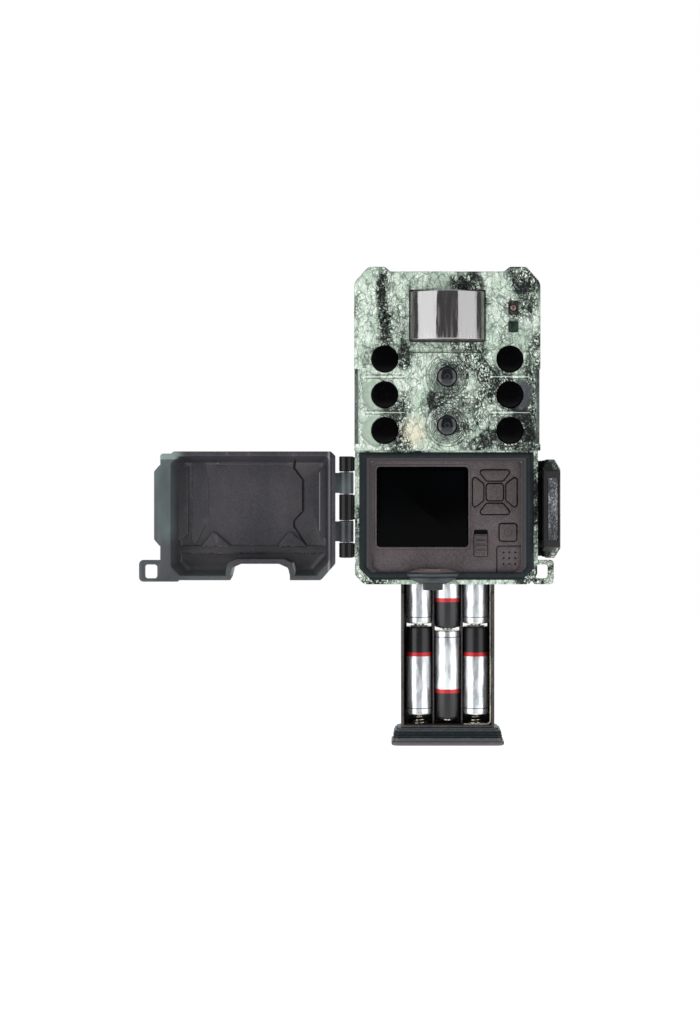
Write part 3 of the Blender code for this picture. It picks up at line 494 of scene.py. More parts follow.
# What is joined onto the shell: barrels for the hinge pin, lugs for the latch pin, padlock ear.
hinge_x, hinge_y, _ = centre("hinge_pin")
pin_z0, pin_z1 = span("hinge_pin")[4:]
barrel_r, pin_fit = 3.95, 1.5
barrel_ends = [-15.7, -24.3, -36.4, -50.8, -62.8, -71.3]
barrel_gap = 0.15
latch_x, latch_y, _ = centre("latch_pin")
latch_fit = 1.4
hole_x, hole_z, hole_w, hole_h = 52.1, -78.8, 6.8, 7.6
ear_t = 2.8


def barrel(high, low, arm_x0, arm_x1, arm_y0, arm_y1):
    """One hinge barrel with its eased ends and the arm that carries it."""
    made = turned(hinge_x, hinge_y, eased(barrel_r, low, high, 0.35), "Z", 40)
    return weld(made, cuboid(arm_x0, arm_x1, arm_y0, arm_y1, low + 0.4, high - 0.4))


joined = [
    barrel(high - barrel_gap, low + barrel_gap, hinge_x, -half + 1, hinge_y - 0.5,
           hinge_y + barrel_r - 0.35)
    for high, low in list(zip(barrel_ends, barrel_ends[1:]))[::2]
]


def ear_hole(x, face):
    """The cutter for the padlock's hole through an ear."""
    line = round_box(x - hole_w / 2, x + hole_w / 2, hole_z - hole_h / 2, hole_z + hole_h / 2, 1.6)
    return well(line, face, ear_t + 2, 0.3)


def hinge_bore():
    return rod(hinge_x, hinge_y, pin_fit, pin_z0 - 5, pin_z1 + 5, "Z")


ear_low = hole_z - hole_h / 2 - 3.2
joined.append(block(
    fillet(rectangle(half - 3, hole_x + hole_w / 2 + 3.2, ear_low, ear_low + hole_h + 5.7), 2.0),
    rim_y, rim_y + ear_t, 0.5, 0.5,
))
lug_lows, lug_tall, lug_gap = (-65.2, -27.2), 3.4, 0.3
for low in lug_lows:
    joined.append(block(
        round_box(half - 2, latch_x + 2.3, latch_y - 2.5, latch_y + 2.5, 1.6), low, low + lug_tall,
        0.3, 0.3, "Z",
    ))
# a web behind the latch's barrel, from lug to lug, painted near black as the shadow beside the latch
joined.append(block(
    round_box(half - 2, latch_x - 1.0, latch_y + 3.1, latch_y + 4.5, 0.6), case_z0 + 15.0,
    hood_z - 5.4, 0.5, 0.5, "Z",
))
weld(front, *joined)

# What is cut out of it: lamp pockets and holes, lens holes, sensor mouths, microphone holes,
# the compartment's mouth, the seal's groove, and the bores.
mouth_line = fillet(cut_cornered(panel_x0 + panel_lap, panel_x1 - panel_lap, panel_z0 + panel_lap,
                                 panel_z1 - panel_lap, 3.5), 1.5)
cuts = [
    hinge_bore(),
    rod(latch_x, latch_y, latch_fit, *span("latch_pin")[4:], "Z"),
    ear_hole(hole_x, rim_y),
    well(mouth_line, rim_y, wall + 1, 0.9),
]
pocket_out, pocket_in, pocket_h, pocket_deep = 12.6, 8.2, 9.15, 1.5
for side in (-1, 1):
    for z in window_z:
        ends = sorted((side * (window_x + pocket_out), side * (window_x - pocket_in)))
        rounds = [8.8, 7.4, 7.4, 8.8] if side < 0 else [7.4, 8.8, 8.8, 7.4]
        pocket = fillet(rectangle(*ends, z - pocket_h, z + pocket_h), rounds, 10)
        cuts.append(loft([
            (grown(pocket, 0.6), front_y - 1.0), (pocket, front_y),
            (grown(pocket, -0.4), front_y + 0.35), (grown(pocket, -1.3), front_y + pocket_deep),
        ]))
        cuts.append(turned(side * window_x, z, [
            (8.0, front_y + pocket_deep - 0.5), (7.6, front_y + pocket_deep),
            (7.35, front_y + pocket_deep + 0.25), (7.35, front_y + wall + 1),
        ]))
for z in lens_z:
    cuts.append(turned(0, z, [
        (bezel_r + 0.7, front_y - 0.5), (bezel_r + 0.3, front_y), (bezel_r + 0.1, front_y + 0.3),
        (bezel_r + 0.1, front_y + 6),
    ], count=96))
pir_x0, pir_x1, pir_y0, _, pir_z0, pir_z1 = span("pir_lens")
pir_half, pir_low, pir_high = 19.8, 46.3, 72.6
cuts.append(well(round_box(-pir_half - 0.7, pir_half + 0.7, pir_low - 0.7, pir_high + 0.7, 0.8),
                 front_y, wall + 1, 0.35))
cuts.append(well(round_box(-pir_half, pir_half, pir_low - 6.6, pir_low - 0.2, 1.0), front_y, 1.4, 0.25))
eye_x, _, eye_z = centre("light_sensor")
lamp_z = centre("status_lamp")[2]
cuts += [
    well(round_box(eye_x - 2.75, eye_x + 2.75, eye_z - 3.9, eye_z + 3.7, 1.1), front_y, 1.1, 0.25),
    turned(eye_x, eye_z, [(2.4, front_y + 0.8), (2.1, front_y + 1.2), (2.1, front_y + 4)]),
    well(round_box(eye_x - 2.75, eye_x + 2.75, lamp_z - 3.2, lamp_z + 3.2, 0.9), front_y, 0.8, 0.25),
    cuboid(eye_x - 2.1, eye_x + 2.1, front_y - 1, front_y + 4, lamp_z - 2.4, lamp_z + 2.4),
]
mic_x, mic_z, mic_r, mic_ring = -33.7, 58.2, 0.68, 3.1
mic_spots = [(mic_x, mic_z)] + [
    (mic_x + mic_ring * math.sin(math.radians(72 * i)),
     mic_z + mic_ring * math.cos(math.radians(72 * i)))
    for i in range(5)
]
for x, z in mic_spots:
    cuts.append(turned(x, z, [(mic_r + 0.25, front_y - 0.1), (mic_r, front_y + 0.25),
                              (mic_r, front_y + 4)], count=20))
# Flutes down both front corners, from the middle of the lamps to the overhang.
for side in (-1, 1):
    edge = side * half
    cuts.append(loft([
        ([(edge + side * 2, front_y - 2), (edge - side * 3.4, front_y - 2),
          (edge - side * 3.1, front_y + 1.0), (edge - side * 2.2, front_y + 2.2),
          (edge - side * 1.4, front_y + 8), (edge + side * 2, front_y + 9)], at)
        for at in (hood_z + 3.5, 31.0)
    ], "Z"))
# The seal's groove, and the bay that the tray's cap closes.

groove_half = 47.6
groove_out = fillet(cut_cornered(-groove_half, groove_half, seal_z0 - 0.2, seal_z1 + 0.2, 6),
                    [3, 3, 3, 1, 1, 3])
cuts.append(line_cutter(groove_out, 3.4, rim_y - 3, rim_y + 1.2))
tray_x0, tray_x1, tray_y0, tray_y1, tray_z0, tray_z1 = span("battery_tray")
cap_x0, cap_x1, cap_y0, cap_y1, cap_z0, cap_z1 = span("tray_cap")
bay = [cap_x0 + 0.5, cap_x1 - 0.5, cap_y0 + 0.5, cap_y1 - 0.5]
cuts.append(cuboid(bay[0], bay[1], bay[2], rear_of_front + 5, case_z0 - 5, case_z0 + 4))
cut(front, *cuts)
soften(front, 0.22)

camo, shader, here = begin("bark_print", 0.5, 0.0, 0.2)
x, y, z = places(here)
# Where the print leans dark (+) or pale (-): middle x and z, reach across and up, and how much.
lean = fade(x, 30.0, 46.0) * 0.04 - 0.008
for cx, cz, wide, tall, amount in [
    (-36, 73, 3, 11, 0.12), (-33, 52, 4, 9, 0.10), (7, 77, 16, 5, 0.13), (40, 76, 9, 6, 0.12),
    (29, 48, 9, 6, 0.09), (21, 41, 4, 7, 0.09), (-24, 37, 5, 9, 0.10), (-9, 12, 7, 11, 0.12),
    (44, 15, 4, 34, 0.06), (27, -8, 8, 5, 0.05), (-42, 66, 5, 14, -0.12), (-14, 27, 6, 12, -0.14),
    (12, 27, 6, 12, -0.12), (24, 62, 6, 14, -0.10), (-20, 0, 8, 8, -0.08), (8, 2, 5, 8, -0.08),
]:
    across, up = (x - cx) / wide, (z - cz) / tall
    lean = lean + (1 - fade((across * across + up * up).root(), 0.2, 1.4)) * amount
colour, lines, speckle = bark(here, lean)
# A tan patch at the lower left, and the plain walls of the lower lamp pockets.
warm = 1 - fade((((x + 18) / 9) * ((x + 18) / 9) + ((z + 3) / 9) * ((z + 3) / 9)).root(), 0.4, 1.2)
colour = blend(warm * (1 - lines) * 0.65, colour, TAN)
smooth_wall = noise(stretched(here, 1.0, 1.0, 0.2), 260.0, 2.0)
pocket_tone = blend(smooth_wall, rgb(132, 148, 134), rgb(172, 186, 170))
in_pocket = between(y, front_y + 0.45, front_y + 2.0) * fade(z, -13.0, -11.0) * (1 - fade(z, 24.0, 30.0))
in_pocket = in_pocket * fade(x.size(), 35.0, 39.0) * near(x, 0, 46.3, 46.6)
colour = blend(in_pocket * (x < 0) * 0.8, colour, pocket_tone)
colour = blend(in_pocket * (x > 0) * fade(z, 4.0, 8.0) * 0.85, colour, rgb(62, 66, 70))
# Painted shade and highlight: the crests between pockets, the ridges between the lenses and the ledge
# under the sensor's cover.
for crest in (sum(window_z[:2]) / 2, sum(window_z[1:]) / 2):
    beside_lamps = fade(x.size(), 22.0, 24.0) * near(x, 0, 43.0, 45.0)
    edges = near((z - crest).size(), 0.9, 0.1, 0.4)
    colour = blend(edges * beside_lamps * 0.7, colour, RIDGE_SHADE)
    # a pale painted highlight along the top of each crest
    colour = blend(near(z, crest, 0.1, 0.3) * beside_lamps * 0.6, colour, rgb(200, 212, 202))
for level in (12.6, 15.1):
    colour = blend(near(z, level, 0.1, 0.4) * near(x, 0, 10.0, 14.0) * 0.75, colour, RIDGE_SHADE)
colour = blend(near(z, 39.6, 0.15, 0.5) * near(x, 0, 19.0, 20.0) * 0.7, colour, SHADE)
# Painted shade: the well behind the sensor's cover is painted near black.
cover_well_shade = (y > front_y + 0.15) * (x.size() < 20.9) * between(z, 45.2, 73.5)
colour = blend(cover_well_shade * 0.95, colour, rgb(20, 20, 21))
# Painted shade down the flutes at the front corners.
flute_shade = fade(x.size(), 47.6, 48.2) * between(z, hood_z + 3.0, 31.0) * between(y, front_y + 0.5, rim_y)
colour = blend(flute_shade * 0.8, colour, rgb(52, 62, 64))
# Painted shade in the recess beside the light eye.
recess = (y > front_y + 0.25) * ((x - eye_x).size() < 3.3) * (z > 49.4)
colour = blend(recess * 0.9, colour, SHADE)
# What the print does not cover: the mouth's rim, in steps of painted shade, the hinge barrels and the
# lugs.
inside_mouth = (x.size() < groove_half + 0.1) * between(z, seal_z0 - 1.4, seal_z1 + 0.3)
inside_mouth = inside_mouth * (y < rim_y + 4) * (x.size() - z < groove_half - seal_z0 - 4.9)
left_fittings = x < -half - 0.15
latch_lugs_in_shadow = (x > half + 0.15) * (z > -71.0)
unprinted = inside_mouth.largest(left_fittings).largest(latch_lugs_in_shadow)
# Stepped bands round the mouth's rim: painted shade for its inner wall, a pale painted highlight line, and
# the seal's slate band painted wider as shade beside it.
reach = ((x.size() - 41.0) / 6.4).largest(((z + 49.05).size() - 30.45) / 4.7)
reach = reach.largest((x.size() - z - 117.0) / 8.6)
bare_and_shade = blend(fade(reach, 0.0, 0.05), rgb(96, 90, 89), rgb(54, 48, 50))
bare_and_shade = blend(fade(reach, 0.22, 0.28), bare_and_shade, rgb(58, 60, 64))
bare_and_shade = blend(fade(reach, 0.36, 0.44), bare_and_shade, rgb(20, 27, 31))
bare_and_shade = blend(left_fittings, bare_and_shade, rgb(22, 20, 21))
# Painted shadow: the latch's lugs and web in near black.
bare_and_shade = blend(latch_lugs_in_shadow, bare_and_shade, rgb(7, 7, 8))
shine = left_fittings * 0.33 + unprinted * 0.06
printed(shader, here, blend(unprinted, colour, bare_and_shade), lines, speckle, 0.42 - shine)
ready(front, "front_shell", "case", camo, "camo_plastic", "front_housing")


# ---- Rear shell ----
# The back half of the case, a nylon moulding dipped in the same pattern. Two toothed rails and a
# middle pad bear on the tree, and the strap runs through slots. Four screws hold it to the front.

shell_back, pad_back = case_back - 8.0, case_back
rear = loft([
    (grown(case_outline, -0.3), shell_split), (case_outline, shell_split + 0.3),
    (case_outline, shell_back - 3.0), (grown(case_outline, -0.4), shell_back - 1.5),
    (grown(case_outline, -1.4), shell_back - 0.4), (grown(case_outline, -2.8), shell_back),
])
cut(rear, cuboid(room, -room, shell_split - 5, shell_back - wall, case_z0 + wall, room_top))
rail_in, rail_out, rail_end = 29.0, 42.0, 60.0
bush_z = centre("tripod_insert")[2]
screw_spots = [centre(f"housing_screw_{i}")[::2] for i in range(1, 5)]
weld(rear, *[
    block(round_box(x0, x1, z0, z1, 3.4), shell_back - 1, pad_back, 0.0, 1.1)
    for x0, x1, z0, z1 in ((rail_in, rail_out, -rail_end, rail_end),
                           (-rail_out, -rail_in, -rail_end, rail_end), (-14, 14, -26, 22))
])
weld(rear, *[rod(x, z, 3.6, shell_split, shell_back - 1) for x, z in screw_spots])
strap_h, strap_d, strap_z = 27.0, 4.6, 43.0
strap_y0 = shell_back + 0.5
teeth = [
    cuboid(x0, x1, pad_back - 0.9, pad_back + 2, z - 0.7, z + 0.7)
    for x0, x1 in ((rail_in - 2, rail_out + 2), (-rail_out - 2, -rail_in + 2))
    for z in [-54 + 6 * i for i in range(19)] if abs(abs(z) - strap_z) > strap_h / 2 + 1
]
tools = [turned(0, bush_z, [(4.7, shell_back - 1.5), (4.7, pad_back - 0.4), (5.1, pad_back + 0.1)]),
         cuboid(bay[0], bay[1], shell_split - 5, bay[3], case_z0 - 5, case_z0 + 4)]
tools += [
    block(fillet([(strap_y0, z - strap_h / 2), (strap_y0 + strap_d, z - strap_h / 2),
                  (strap_y0 + strap_d, z + strap_h / 2), (strap_y0, z + strap_h / 2)], 1.2),
          case_x0 - 5, case_x1 + 5, axis="X")
    for z in (-strap_z, strap_z)
]
for x, z in screw_spots:
    tools.append(turned(x, z, [(2.9, shell_back - wall), (2.9, shell_back - 0.3),
                               (3.3, shell_back + 0.2), (3.3, shell_back + 5)]))
    tools.append(rod(x, z, 1.4, shell_split - 5, shell_back + 5))
cut(rear, *tools, *teeth)
soften(rear, 0.25)


def dipped(name):
    """The bark print on its own, for the pieces that carry it all over."""
    made, shader, here = begin(name, 0.5, 0.0, 0.25)
    colour, lines, speckle = bark(here)
    printed(shader, here, colour, lines, speckle)
    return made


ready(rear, "rear_shell", "case", dipped("bark_print_rear"), "camo_plastic", "rear_housing")


# ---- Shell gasket ----
# A ring of slate rubber, pinched between the two shells all the way round to keep the rain out. It
# breaks only where the tray's cap comes through the bottom.


def moulded(name, dark, light, rough, grain=900.0, height=0.00005):
    """Moulded plastic or rubber: an etched grain over a faint clouding."""
    made, shader, here = begin(name, rough, 0.0, 0.25)
    cloud = noise(here, 60.0, 3.0)
    grit = noise(here, grain, 3.0, 0.6)
    feed(
        shader,
        Base_Color=blend(fade(cloud * 0.35 + grit * 0.65, 0.36, 0.64), dark, light),
        Roughness=rough - 0.09 + grit * 0.18,
        Normal=bumped(here, noise(here, grain * 1.9, 2.0, 0.55), 0.45, height),
    )
    return made


seal_grey = moulded("seal_slate", rgb(11, 17, 20), rgb(22, 31, 35), 0.45, 700.0)
gasket_y0, gasket_y1 = span("housing_gasket")[2:4]
gasket = block(grown(case_outline, -0.9), gasket_y0, gasket_y1, 0.25, 0.25)
cut(
    gasket,
    block(grown(fillet(case_shape, [3.4, 3.4, 3.4, 6, 3.5, 3.4, 3.4, 3.4, 3.4, 3.5, 6, 3.4]), -2.9),
          gasket_y0 - 5, gasket_y1 + 5),
    cuboid(bay[0] - 0.3, bay[1] + 0.3, bay[2], bay[3], case_z0 - 5, case_z0 + 5),
)
ready(gasket, "shell_gasket", "case", seal_grey, "seal_rubber", "housing_gasket")

# ---- Tripod bush ----
# A threaded brass bush, moulded into the middle pad of the rear shell, for a quarter-inch screw.
# It is turned from bar, so its finish is bright and streaked.


def metal(name, dull, bright, rough, grain=700.0):
    """Plated or turned metal with faint streaks and handling marks."""
    made, shader, here = begin(name, rough, 1.0)
    streak = noise(stretched(here, 1.0, 1.0, 0.15), grain, 3.0)
    marks = noise(here, 180.0, 4.0, 0.6)
    feed(
        shader,
        Base_Color=blend(fade(streak * 0.5 + marks * 0.5, 0.35, 0.65), dull, bright),
        Roughness=rough - 0.06 + marks * 0.14,
    )
    return made


brass = metal("turned_brass", rgb(176, 138, 62), rgb(222, 188, 108), 0.3)
bush_y0, bush_y1 = span("tripod_insert")[2:4]
thread = [(2.6 + 0.42 * (i % 2), bush_y0 + 1.2 + 0.32 * i) for i in range(19)]
bush = turned(0, bush_z, eased(4.6, bush_y0, bush_y1, 0.3))
cut(bush, turned(0, bush_z, [*thread, (3.3, bush_y1 - 0.3), (3.7, bush_y1 + 0.5)]))
ready(bush, "tripod_bush", "case", brass, "brass", "tripod_insert")

# ---- Shell screws ----
# Four zinc-plated steel screws with hexagon sockets, driven in from behind at the corners. Their
# threads bite into posts in the front shell.

zinc = metal("zinc_plate", rgb(138, 140, 142), rgb(196, 198, 200), 0.32)
for number, (x, z) in enumerate(screw_spots, 1):
    low_y, high_y = span(f"housing_screw_{number}")[2:4]
    head = high_y - 1.8
    shank = [(1.05 + 0.15 * (i % 2), low_y + 0.5 * i) for i in range(int((head - low_y) / 0.5))]
    screw = turned(x, z, [(0.6, low_y - 0.01), *shank[1:], (1.2, head), (2.7, head + 0.1),
                          (2.7, high_y - 0.5), (2.2, high_y)], count=24)
    cut(screw, turned(x, z, [(1.0, high_y - 1.2), (1.25, high_y + 0.3)], count=6))
    ready(screw, f"shell_screw_{number}", "case", zinc, "steel", f"housing_screw_{number}")

# ---- Motion sensor cover ----
# One dark, smoked moulding, bowed outwards over the sensor and polished on its face. Its flat frame
# is trapped behind the front shell.


def bowed(width, bulge, base, steps=24):
    """A segment of a circle seen from above, flat side at base."""
    radius = ((width / 2) ** 2 + bulge ** 2) / (2 * bulge)
    reach = math.asin(width / 2 / radius)
    arc = [
        (radius * math.sin(reach * (i / steps * 2 - 1)),
         front_y - bulge + radius - radius * math.cos(reach * (i / steps * 2 - 1)))
        for i in range(steps + 1)
    ]
    return [*arc, (width / 2, base), (-width / 2, base)]


behind = front_y + wall + 0.3
bulge = front_y - pir_y0
outer = bowed(2 * pir_half, bulge, behind + 1.0)
cover = block(outer, pir_low, pir_high, 0.7, 0.7, "Z")
weld(cover, block(round_box(pir_x0, pir_x1, pir_z0, pir_z1, 1.0), behind, behind + 1.2, 0.2, 0.2))
cut(cover, loft([(bowed(2 * pir_half - 2.4, bulge - 1.2, behind + 5), pir_low + 1.2),
                 (bowed(2 * pir_half - 2.4, bulge - 1.2, behind + 5), pir_high - 1.2)], "Z"))
smoked, shader, here = begin("smoked_cover", 0.07, 0.0, 0.8)
shader.inputs["IOR"].default_value = 2.4
ripple = noise(stretched(here, 1.0, 1.0, 0.35), 150.0, 2.0)
fleck = noise(stretched(here, 1.0, 1.0, 0.1), 700.0, 3.0)
feed(
    shader,
    Base_Color=blend(fade(fleck, 0.35, 0.7), rgb(24, 17, 16), rgb(40, 31, 29)),
    Roughness=0.05 + fade(fleck, 0.4, 0.62) * 0.16,
    Normal=bumped(here, ripple * 0.92 + fleck * 0.08, 0.5, 0.00020),
)
ready(cover, "motion_sensor_cover", "case", smoked, "lens_cover", "pir_lens")

# ---- Lamp windows ----
# Six round panes of very dark clear plastic, three at each side, hiding the infra-red lamps. Each
# is slightly domed and has a collar that is glued behind its hole.

window_black, shader, here = begin("window_black", 0.12, 0.0, 0.1)
dots = fade(noise(here, 420.0, 1.0), 0.55, 0.7)
feed(
    shader,
    Base_Color=blend(dots, rgb(1, 1, 2), rgb(5, 5, 6)),
    Roughness=0.14 + noise(here, 300.0) * 0.12,
)
for word in ("left", "right"):
    for level in ("upper", "middle", "lower"):
        node = f"ir_window_{word}_{level}"
        (cx, _, cz), (y0, y1) = centre(node), span(node)[2:4]
        pane = turned(cx, cz, [
            (2.0, y0), (5.0, y0 + 0.12), (6.6, y0 + 0.35), (7.0, y0 + 0.7), (7.15, y0 + 1.2),
            (7.15, y1 - 1.1), (7.7, y1 - 1.0), (7.8, y1 - 0.1), (7.6, y1),
        ])
        ready(pane, f"lamp_window_{word}_{level}", "case", window_black, "dark_window", node)


# ---- Camera lenses ----
# Two lenses, one above the other. Each has a stepped, printed bezel that tapers down to a black
# barrel, and a domed front glass with a bluish coating at its foot.


def from_lens(here):
    """How far a point lies from the axis of the lens it belongs to, in millimetres."""
    x, _, z = places(here)
    height = z - lens_z[1] - (z > sum(lens_z) / 2) * (lens_z[0] - lens_z[1])
    return (x * x + height * height).root()


bezel_print, shader, here = begin("bark_print_bezel", 0.45, 0.0, 0.2)
colour, lines, speckle = bark(here)
away = from_lens(here)
# Painted shade: dark rings where the bezel steps down.
step_shade_lines = near(away, 6.2, 0.1, 0.32)
for radius in (7.0, 7.8, 8.6, 9.6):
    step_shade_lines = step_shade_lines.largest(near(away, radius, 0.1, 0.32))
colour = blend(step_shade_lines * (1 - fade(away, 8.0, 11.0) * 0.7) * 0.85, colour, rgb(30, 34, 33))
printed(shader, here, colour, lines, speckle, 0.4)
glass_black, shader, here = begin("lens_black", 0.3, 0.0, 0.06)
shader.inputs["Coat Weight"].default_value = 1.0
away = from_lens(here)
ring = near(away, 1.3, 0.12, 0.3) * 0.5
rim_ring = near(away, 4.6, 0.2, 0.6) * 0.2
sheen = fade(noise(here, 160.0, 2.0), 0.4, 0.7)
feed(
    shader,
    Base_Color=blend(ring.largest(rim_ring), blend(sheen, rgb(16, 17, 19), rgb(28, 31, 36)),
                     rgb(70, 76, 92)),
    Roughness=0.04 + sheen * 0.05,
)
for level, cz in zip(("upper", "lower"), lens_z):
    y0, y1 = span(f"lens_barrel_{level}")[2:4]
    barrel_tube = turned(0, cz, [
        (bezel_r - 0.5, y0), (bezel_r - 0.1, y0 + 0.15), (bezel_r, y0 + 0.5), (bezel_r, y0 + 5.2),
        (8.5, y0 + 5.5), (8.5, y1 - 0.5), (8.0, y1),
    ], count=96)
    cut(barrel_tube, turned(0, cz, [
        (bezel_r - 1.0, y0 - 0.5), (bezel_r - 1.4, y0 + 0.3), (bezel_r - 1.7, y0 + 0.9),
        (bezel_r - 2.5, y0 + 1.0), (bezel_r - 2.7, y0 + 1.6), (bezel_r - 3.4, y0 + 1.7),
        (bezel_r - 3.6, y0 + 2.3), (bezel_r - 4.3, y0 + 2.4), (bezel_r - 4.5, y0 + 3.0),
        (bezel_r - 5.2, y0 + 3.1), (bezel_r - 5.4, y0 + 3.5), (5.7, y0 + 3.6), (5.7, y0 + 8.0),
        (4.4, y0 + 8.4), (4.4, y0 + 15.0),
    ], count=96))
    soften(barrel_tube, 0.08)
    ready(barrel_tube, f"lens_bezel_{level}", "case", bezel_print, "camo_plastic",
          f"lens_barrel_{level}")
    g0, g1 = span(f"lens_glass_{level}")[2:4]
    glass = turned(0, cz, [
        (0.7, g0 + 0.02), (1.5, g0 + 0.05), (2.4, g0 + 0.14), (3.4, g0 + 0.34), (4.4, g0 + 0.66),
        (5.1, g0 + 1.0), (5.5, g0 + 1.35), (5.6, g0 + 1.7), (5.6, g1),
    ], count=64)
    ready(glass, f"camera_glass_{level}", "case", glass_black, "lens_glass", f"lens_glass_{level}")

# ---- Light sensor and status lamp ----
# A red domed eye and a small green window, pushed into the front shell from behind.

eye_y0, eye_y1 = span("light_sensor")[2:4]
red, shader, here = begin("red_lens", 0.12, 0.0, 0.6)
shader.inputs["Coat Weight"].default_value = 0.8
swirl = noise(here, 500.0, 2.0)
feed(shader, Base_Color=blend(fade(swirl, 0.3, 0.7), rgb(58, 34, 33), rgb(104, 68, 64)),
     Roughness=0.08 + swirl * 0.1)
eye = turned(eye_x, eye_z, [
    (0.5, eye_y0), (1.0, eye_y0 + 0.12), (1.45, eye_y0 + 0.35), (1.75, eye_y0 + 0.7),
    (1.9, eye_y0 + 1.2), (1.9, eye_y1 - 1.2), (3.0, eye_y1 - 1.1), (3.0, eye_y1),
], count=40)
ready(eye, "light_eye", "case", red, "red_window", "light_sensor")

lamp_y0, lamp_y1 = span("status_lamp")[2:4]
green, shader, here = begin("green_lens", 0.15, 0.0, 0.5)
shader.inputs["Coat Weight"].default_value = 0.6
swirl = noise(here, 450.0, 2.0)
feed(shader, Base_Color=blend(fade(swirl, 0.3, 0.7), rgb(8, 30, 25), rgb(20, 54, 44)),
     Roughness=0.1 + swirl * 0.15)
lamp_window = block(round_box(eye_x - 1.9, eye_x + 1.9, lamp_z - 2.2, lamp_z + 2.2, 0.7),
                    lamp_y0, lamp_y1, 0.35, 0.0)
weld(lamp_window, block(round_box(eye_x - 3.0, eye_x + 3.0, lamp_z - 3.2, lamp_z + 3.2, 0.6),
                        behind, behind + 1.2, 0.15, 0.15))
ready(lamp_window, "status_window", "case", green, "green_window", "status_lamp")


# ---- Compartment seal ----
# A slate rubber ring, pressed into a groove round the compartment's mouth, that the door's rim
# closes on. Its two lower corners are cut off, as the mouth's are.


def seal_line(inset):
    """The seal's outline drawn in by inset, with its two lower corners cut off."""
    low_r, high_r = 4.0 - inset, max(1.6 - inset, 0.4)
    return fillet(cut_cornered(seal_x0 + inset, seal_x1 - inset, seal_z0 + inset, seal_z1 - inset,
                               5.6 - 0.59 * inset), [low_r, low_r, low_r, high_r, high_r, low_r])


seal_ring = block(seal_line(0.0), seal_y, rim_y + 1.0, 0.45, 0.0)
cut(seal_ring, loft([
    (seal_line(2.2), seal_y - 1), (seal_line(2.2), seal_y), (seal_line(2.8), seal_y + 0.6),
    (seal_line(2.8), seal_y + 5),
]))
soften(seal_ring, 0.15)
ready(seal_ring, "door_seal", "case", seal_grey, "seal_rubber", "compartment_seal")

# ---- Control panel ----
# A brown moulding with an etched grain, which closes the compartment from behind. It has openings
# for the display, the keys and the switch, nine small holes for the speaker, and moulded lines.

screen_x0, screen_x1, screen_y, _, screen_z0, screen_z1 = span("lcd_window")
key_nodes = {way: span(f"button_{way}") for way in ("up", "down", "left", "right", "ok", "capture")}
pad_x, _, pad_z = centre("button_ok")
ok_half, key_gap, key_reach, key_wide = 4.5, 1.4, 12.0, 16.1


def wedge(way):
    """One of the four outer keys: a rounded wedge, narrow beside the middle key."""
    near, wide, narrow = ok_half + key_gap + 0.4, key_wide / 2, ok_half - 0.1
    shape = [(-narrow, near), (narrow, near), (wide, key_reach - 1.2), (wide - 1.0, key_reach),
             (-wide + 1.0, key_reach), (-wide, key_reach - 1.2)]
    across, up = {"up": (1, 0), "left": (0, 1), "down": (-1, 0), "right": (0, -1)}[way]
    spots = [(pad_x + a * across - b * up, pad_z + a * up + b * across) for a, b in shape]
    return fillet(spots, [1.3, 1.3, 0.9, 0.9, 0.9, 0.9], 4)


key_lines = {way: wedge(way) for way in ("up", "down", "left", "right")}
for way, corner in (("ok", 1.4), ("capture", 1.2)):
    key_lines[way] = round_box(*key_nodes[way][:2], *key_nodes[way][4:], corner)

switch = span("power_switch")
slot_x0, slot_x1, slot_z0 = switch[0] - 0.2, switch[1] + 0.2, switch[4] - 0.2
slot_z1 = slot_z0 + 14.8
speaker_x, _, speaker_z = centre("speaker")
release_x0, release_x1, _, _, release_z0, release_z1 = span("tray_release")
release_x = centre("tray_release")[0]
stem_z = release_z1 - 0.9

panel = block(round_box(panel_x0, panel_x1, panel_z0, panel_z1, 1.5), panel_y, panel_back, 0.0, 0.2)
panel_cuts = [
    well(round_box(screen_x0 - 0.2, screen_x1 + 0.2, screen_z0 - 0.2, screen_z1 + 0.2, 2.0),
         panel_y, 4, 0.5),
    well(round_box(slot_x0, slot_x1, slot_z0, slot_z1, 0.8), panel_y, 4, 0.25),
    cuboid(release_x - 4.3, release_x + 4.3, panel_y - 5, panel_back + 5, stem_z - 1.0, stem_z + 1.0),
]
panel_cuts += [well(grown(line, 0.55), panel_y, 4, 0.2) for line in key_lines.values()]
panel_cuts += [
    turned(speaker_x - 0.9 + i * 3.2, speaker_z - 0.9 + j * 3.2,
           [(0.7, panel_y - 0.05), (0.45, panel_y + 0.3), (0.45, panel_back + 1)], count=20)
    for i in (-1, 0, 1) for j in (-1, 0, 1)
]
# Moulded lines: the frame round the display and the speaker's border.
frame_line = round_box(screen_x0 - 1.7, screen_x1 + 1.7, screen_z0 - 1.7, screen_z1 + 1.7, 2.6)
panel_cuts.append(line_cutter(frame_line, 0.4, panel_y - 1, panel_y + 0.3))
border_x, border_z = slot_x1 + 4.6, -64.6
border = fillet([(border_x, panel_z0), (border_x, border_z), (panel_x1 + 1, border_z),
                 (panel_x1 + 1, panel_z0)], [0, 2.0, 0, 0])
panel_cuts.append(line_cutter(border, 0.75, panel_y - 1, panel_y + 1.3))
cut(panel, *panel_cuts)
soften(panel, 0.12)
panel_brown = moulded("panel_brown", rgb(60, 53, 55), rgb(86, 78, 80), 0.46, 1300.0, 0.00009)
ready(panel, "key_panel", "case", panel_brown, "brown_plastic", "control_panel")

# ---- Keys and slide switch ----
# Four wedge-shaped keys round a square one, a capture key with a ring on it, and a ribbed switch
# that slides up and down. All are the panel's brown plastic with a finer grain.

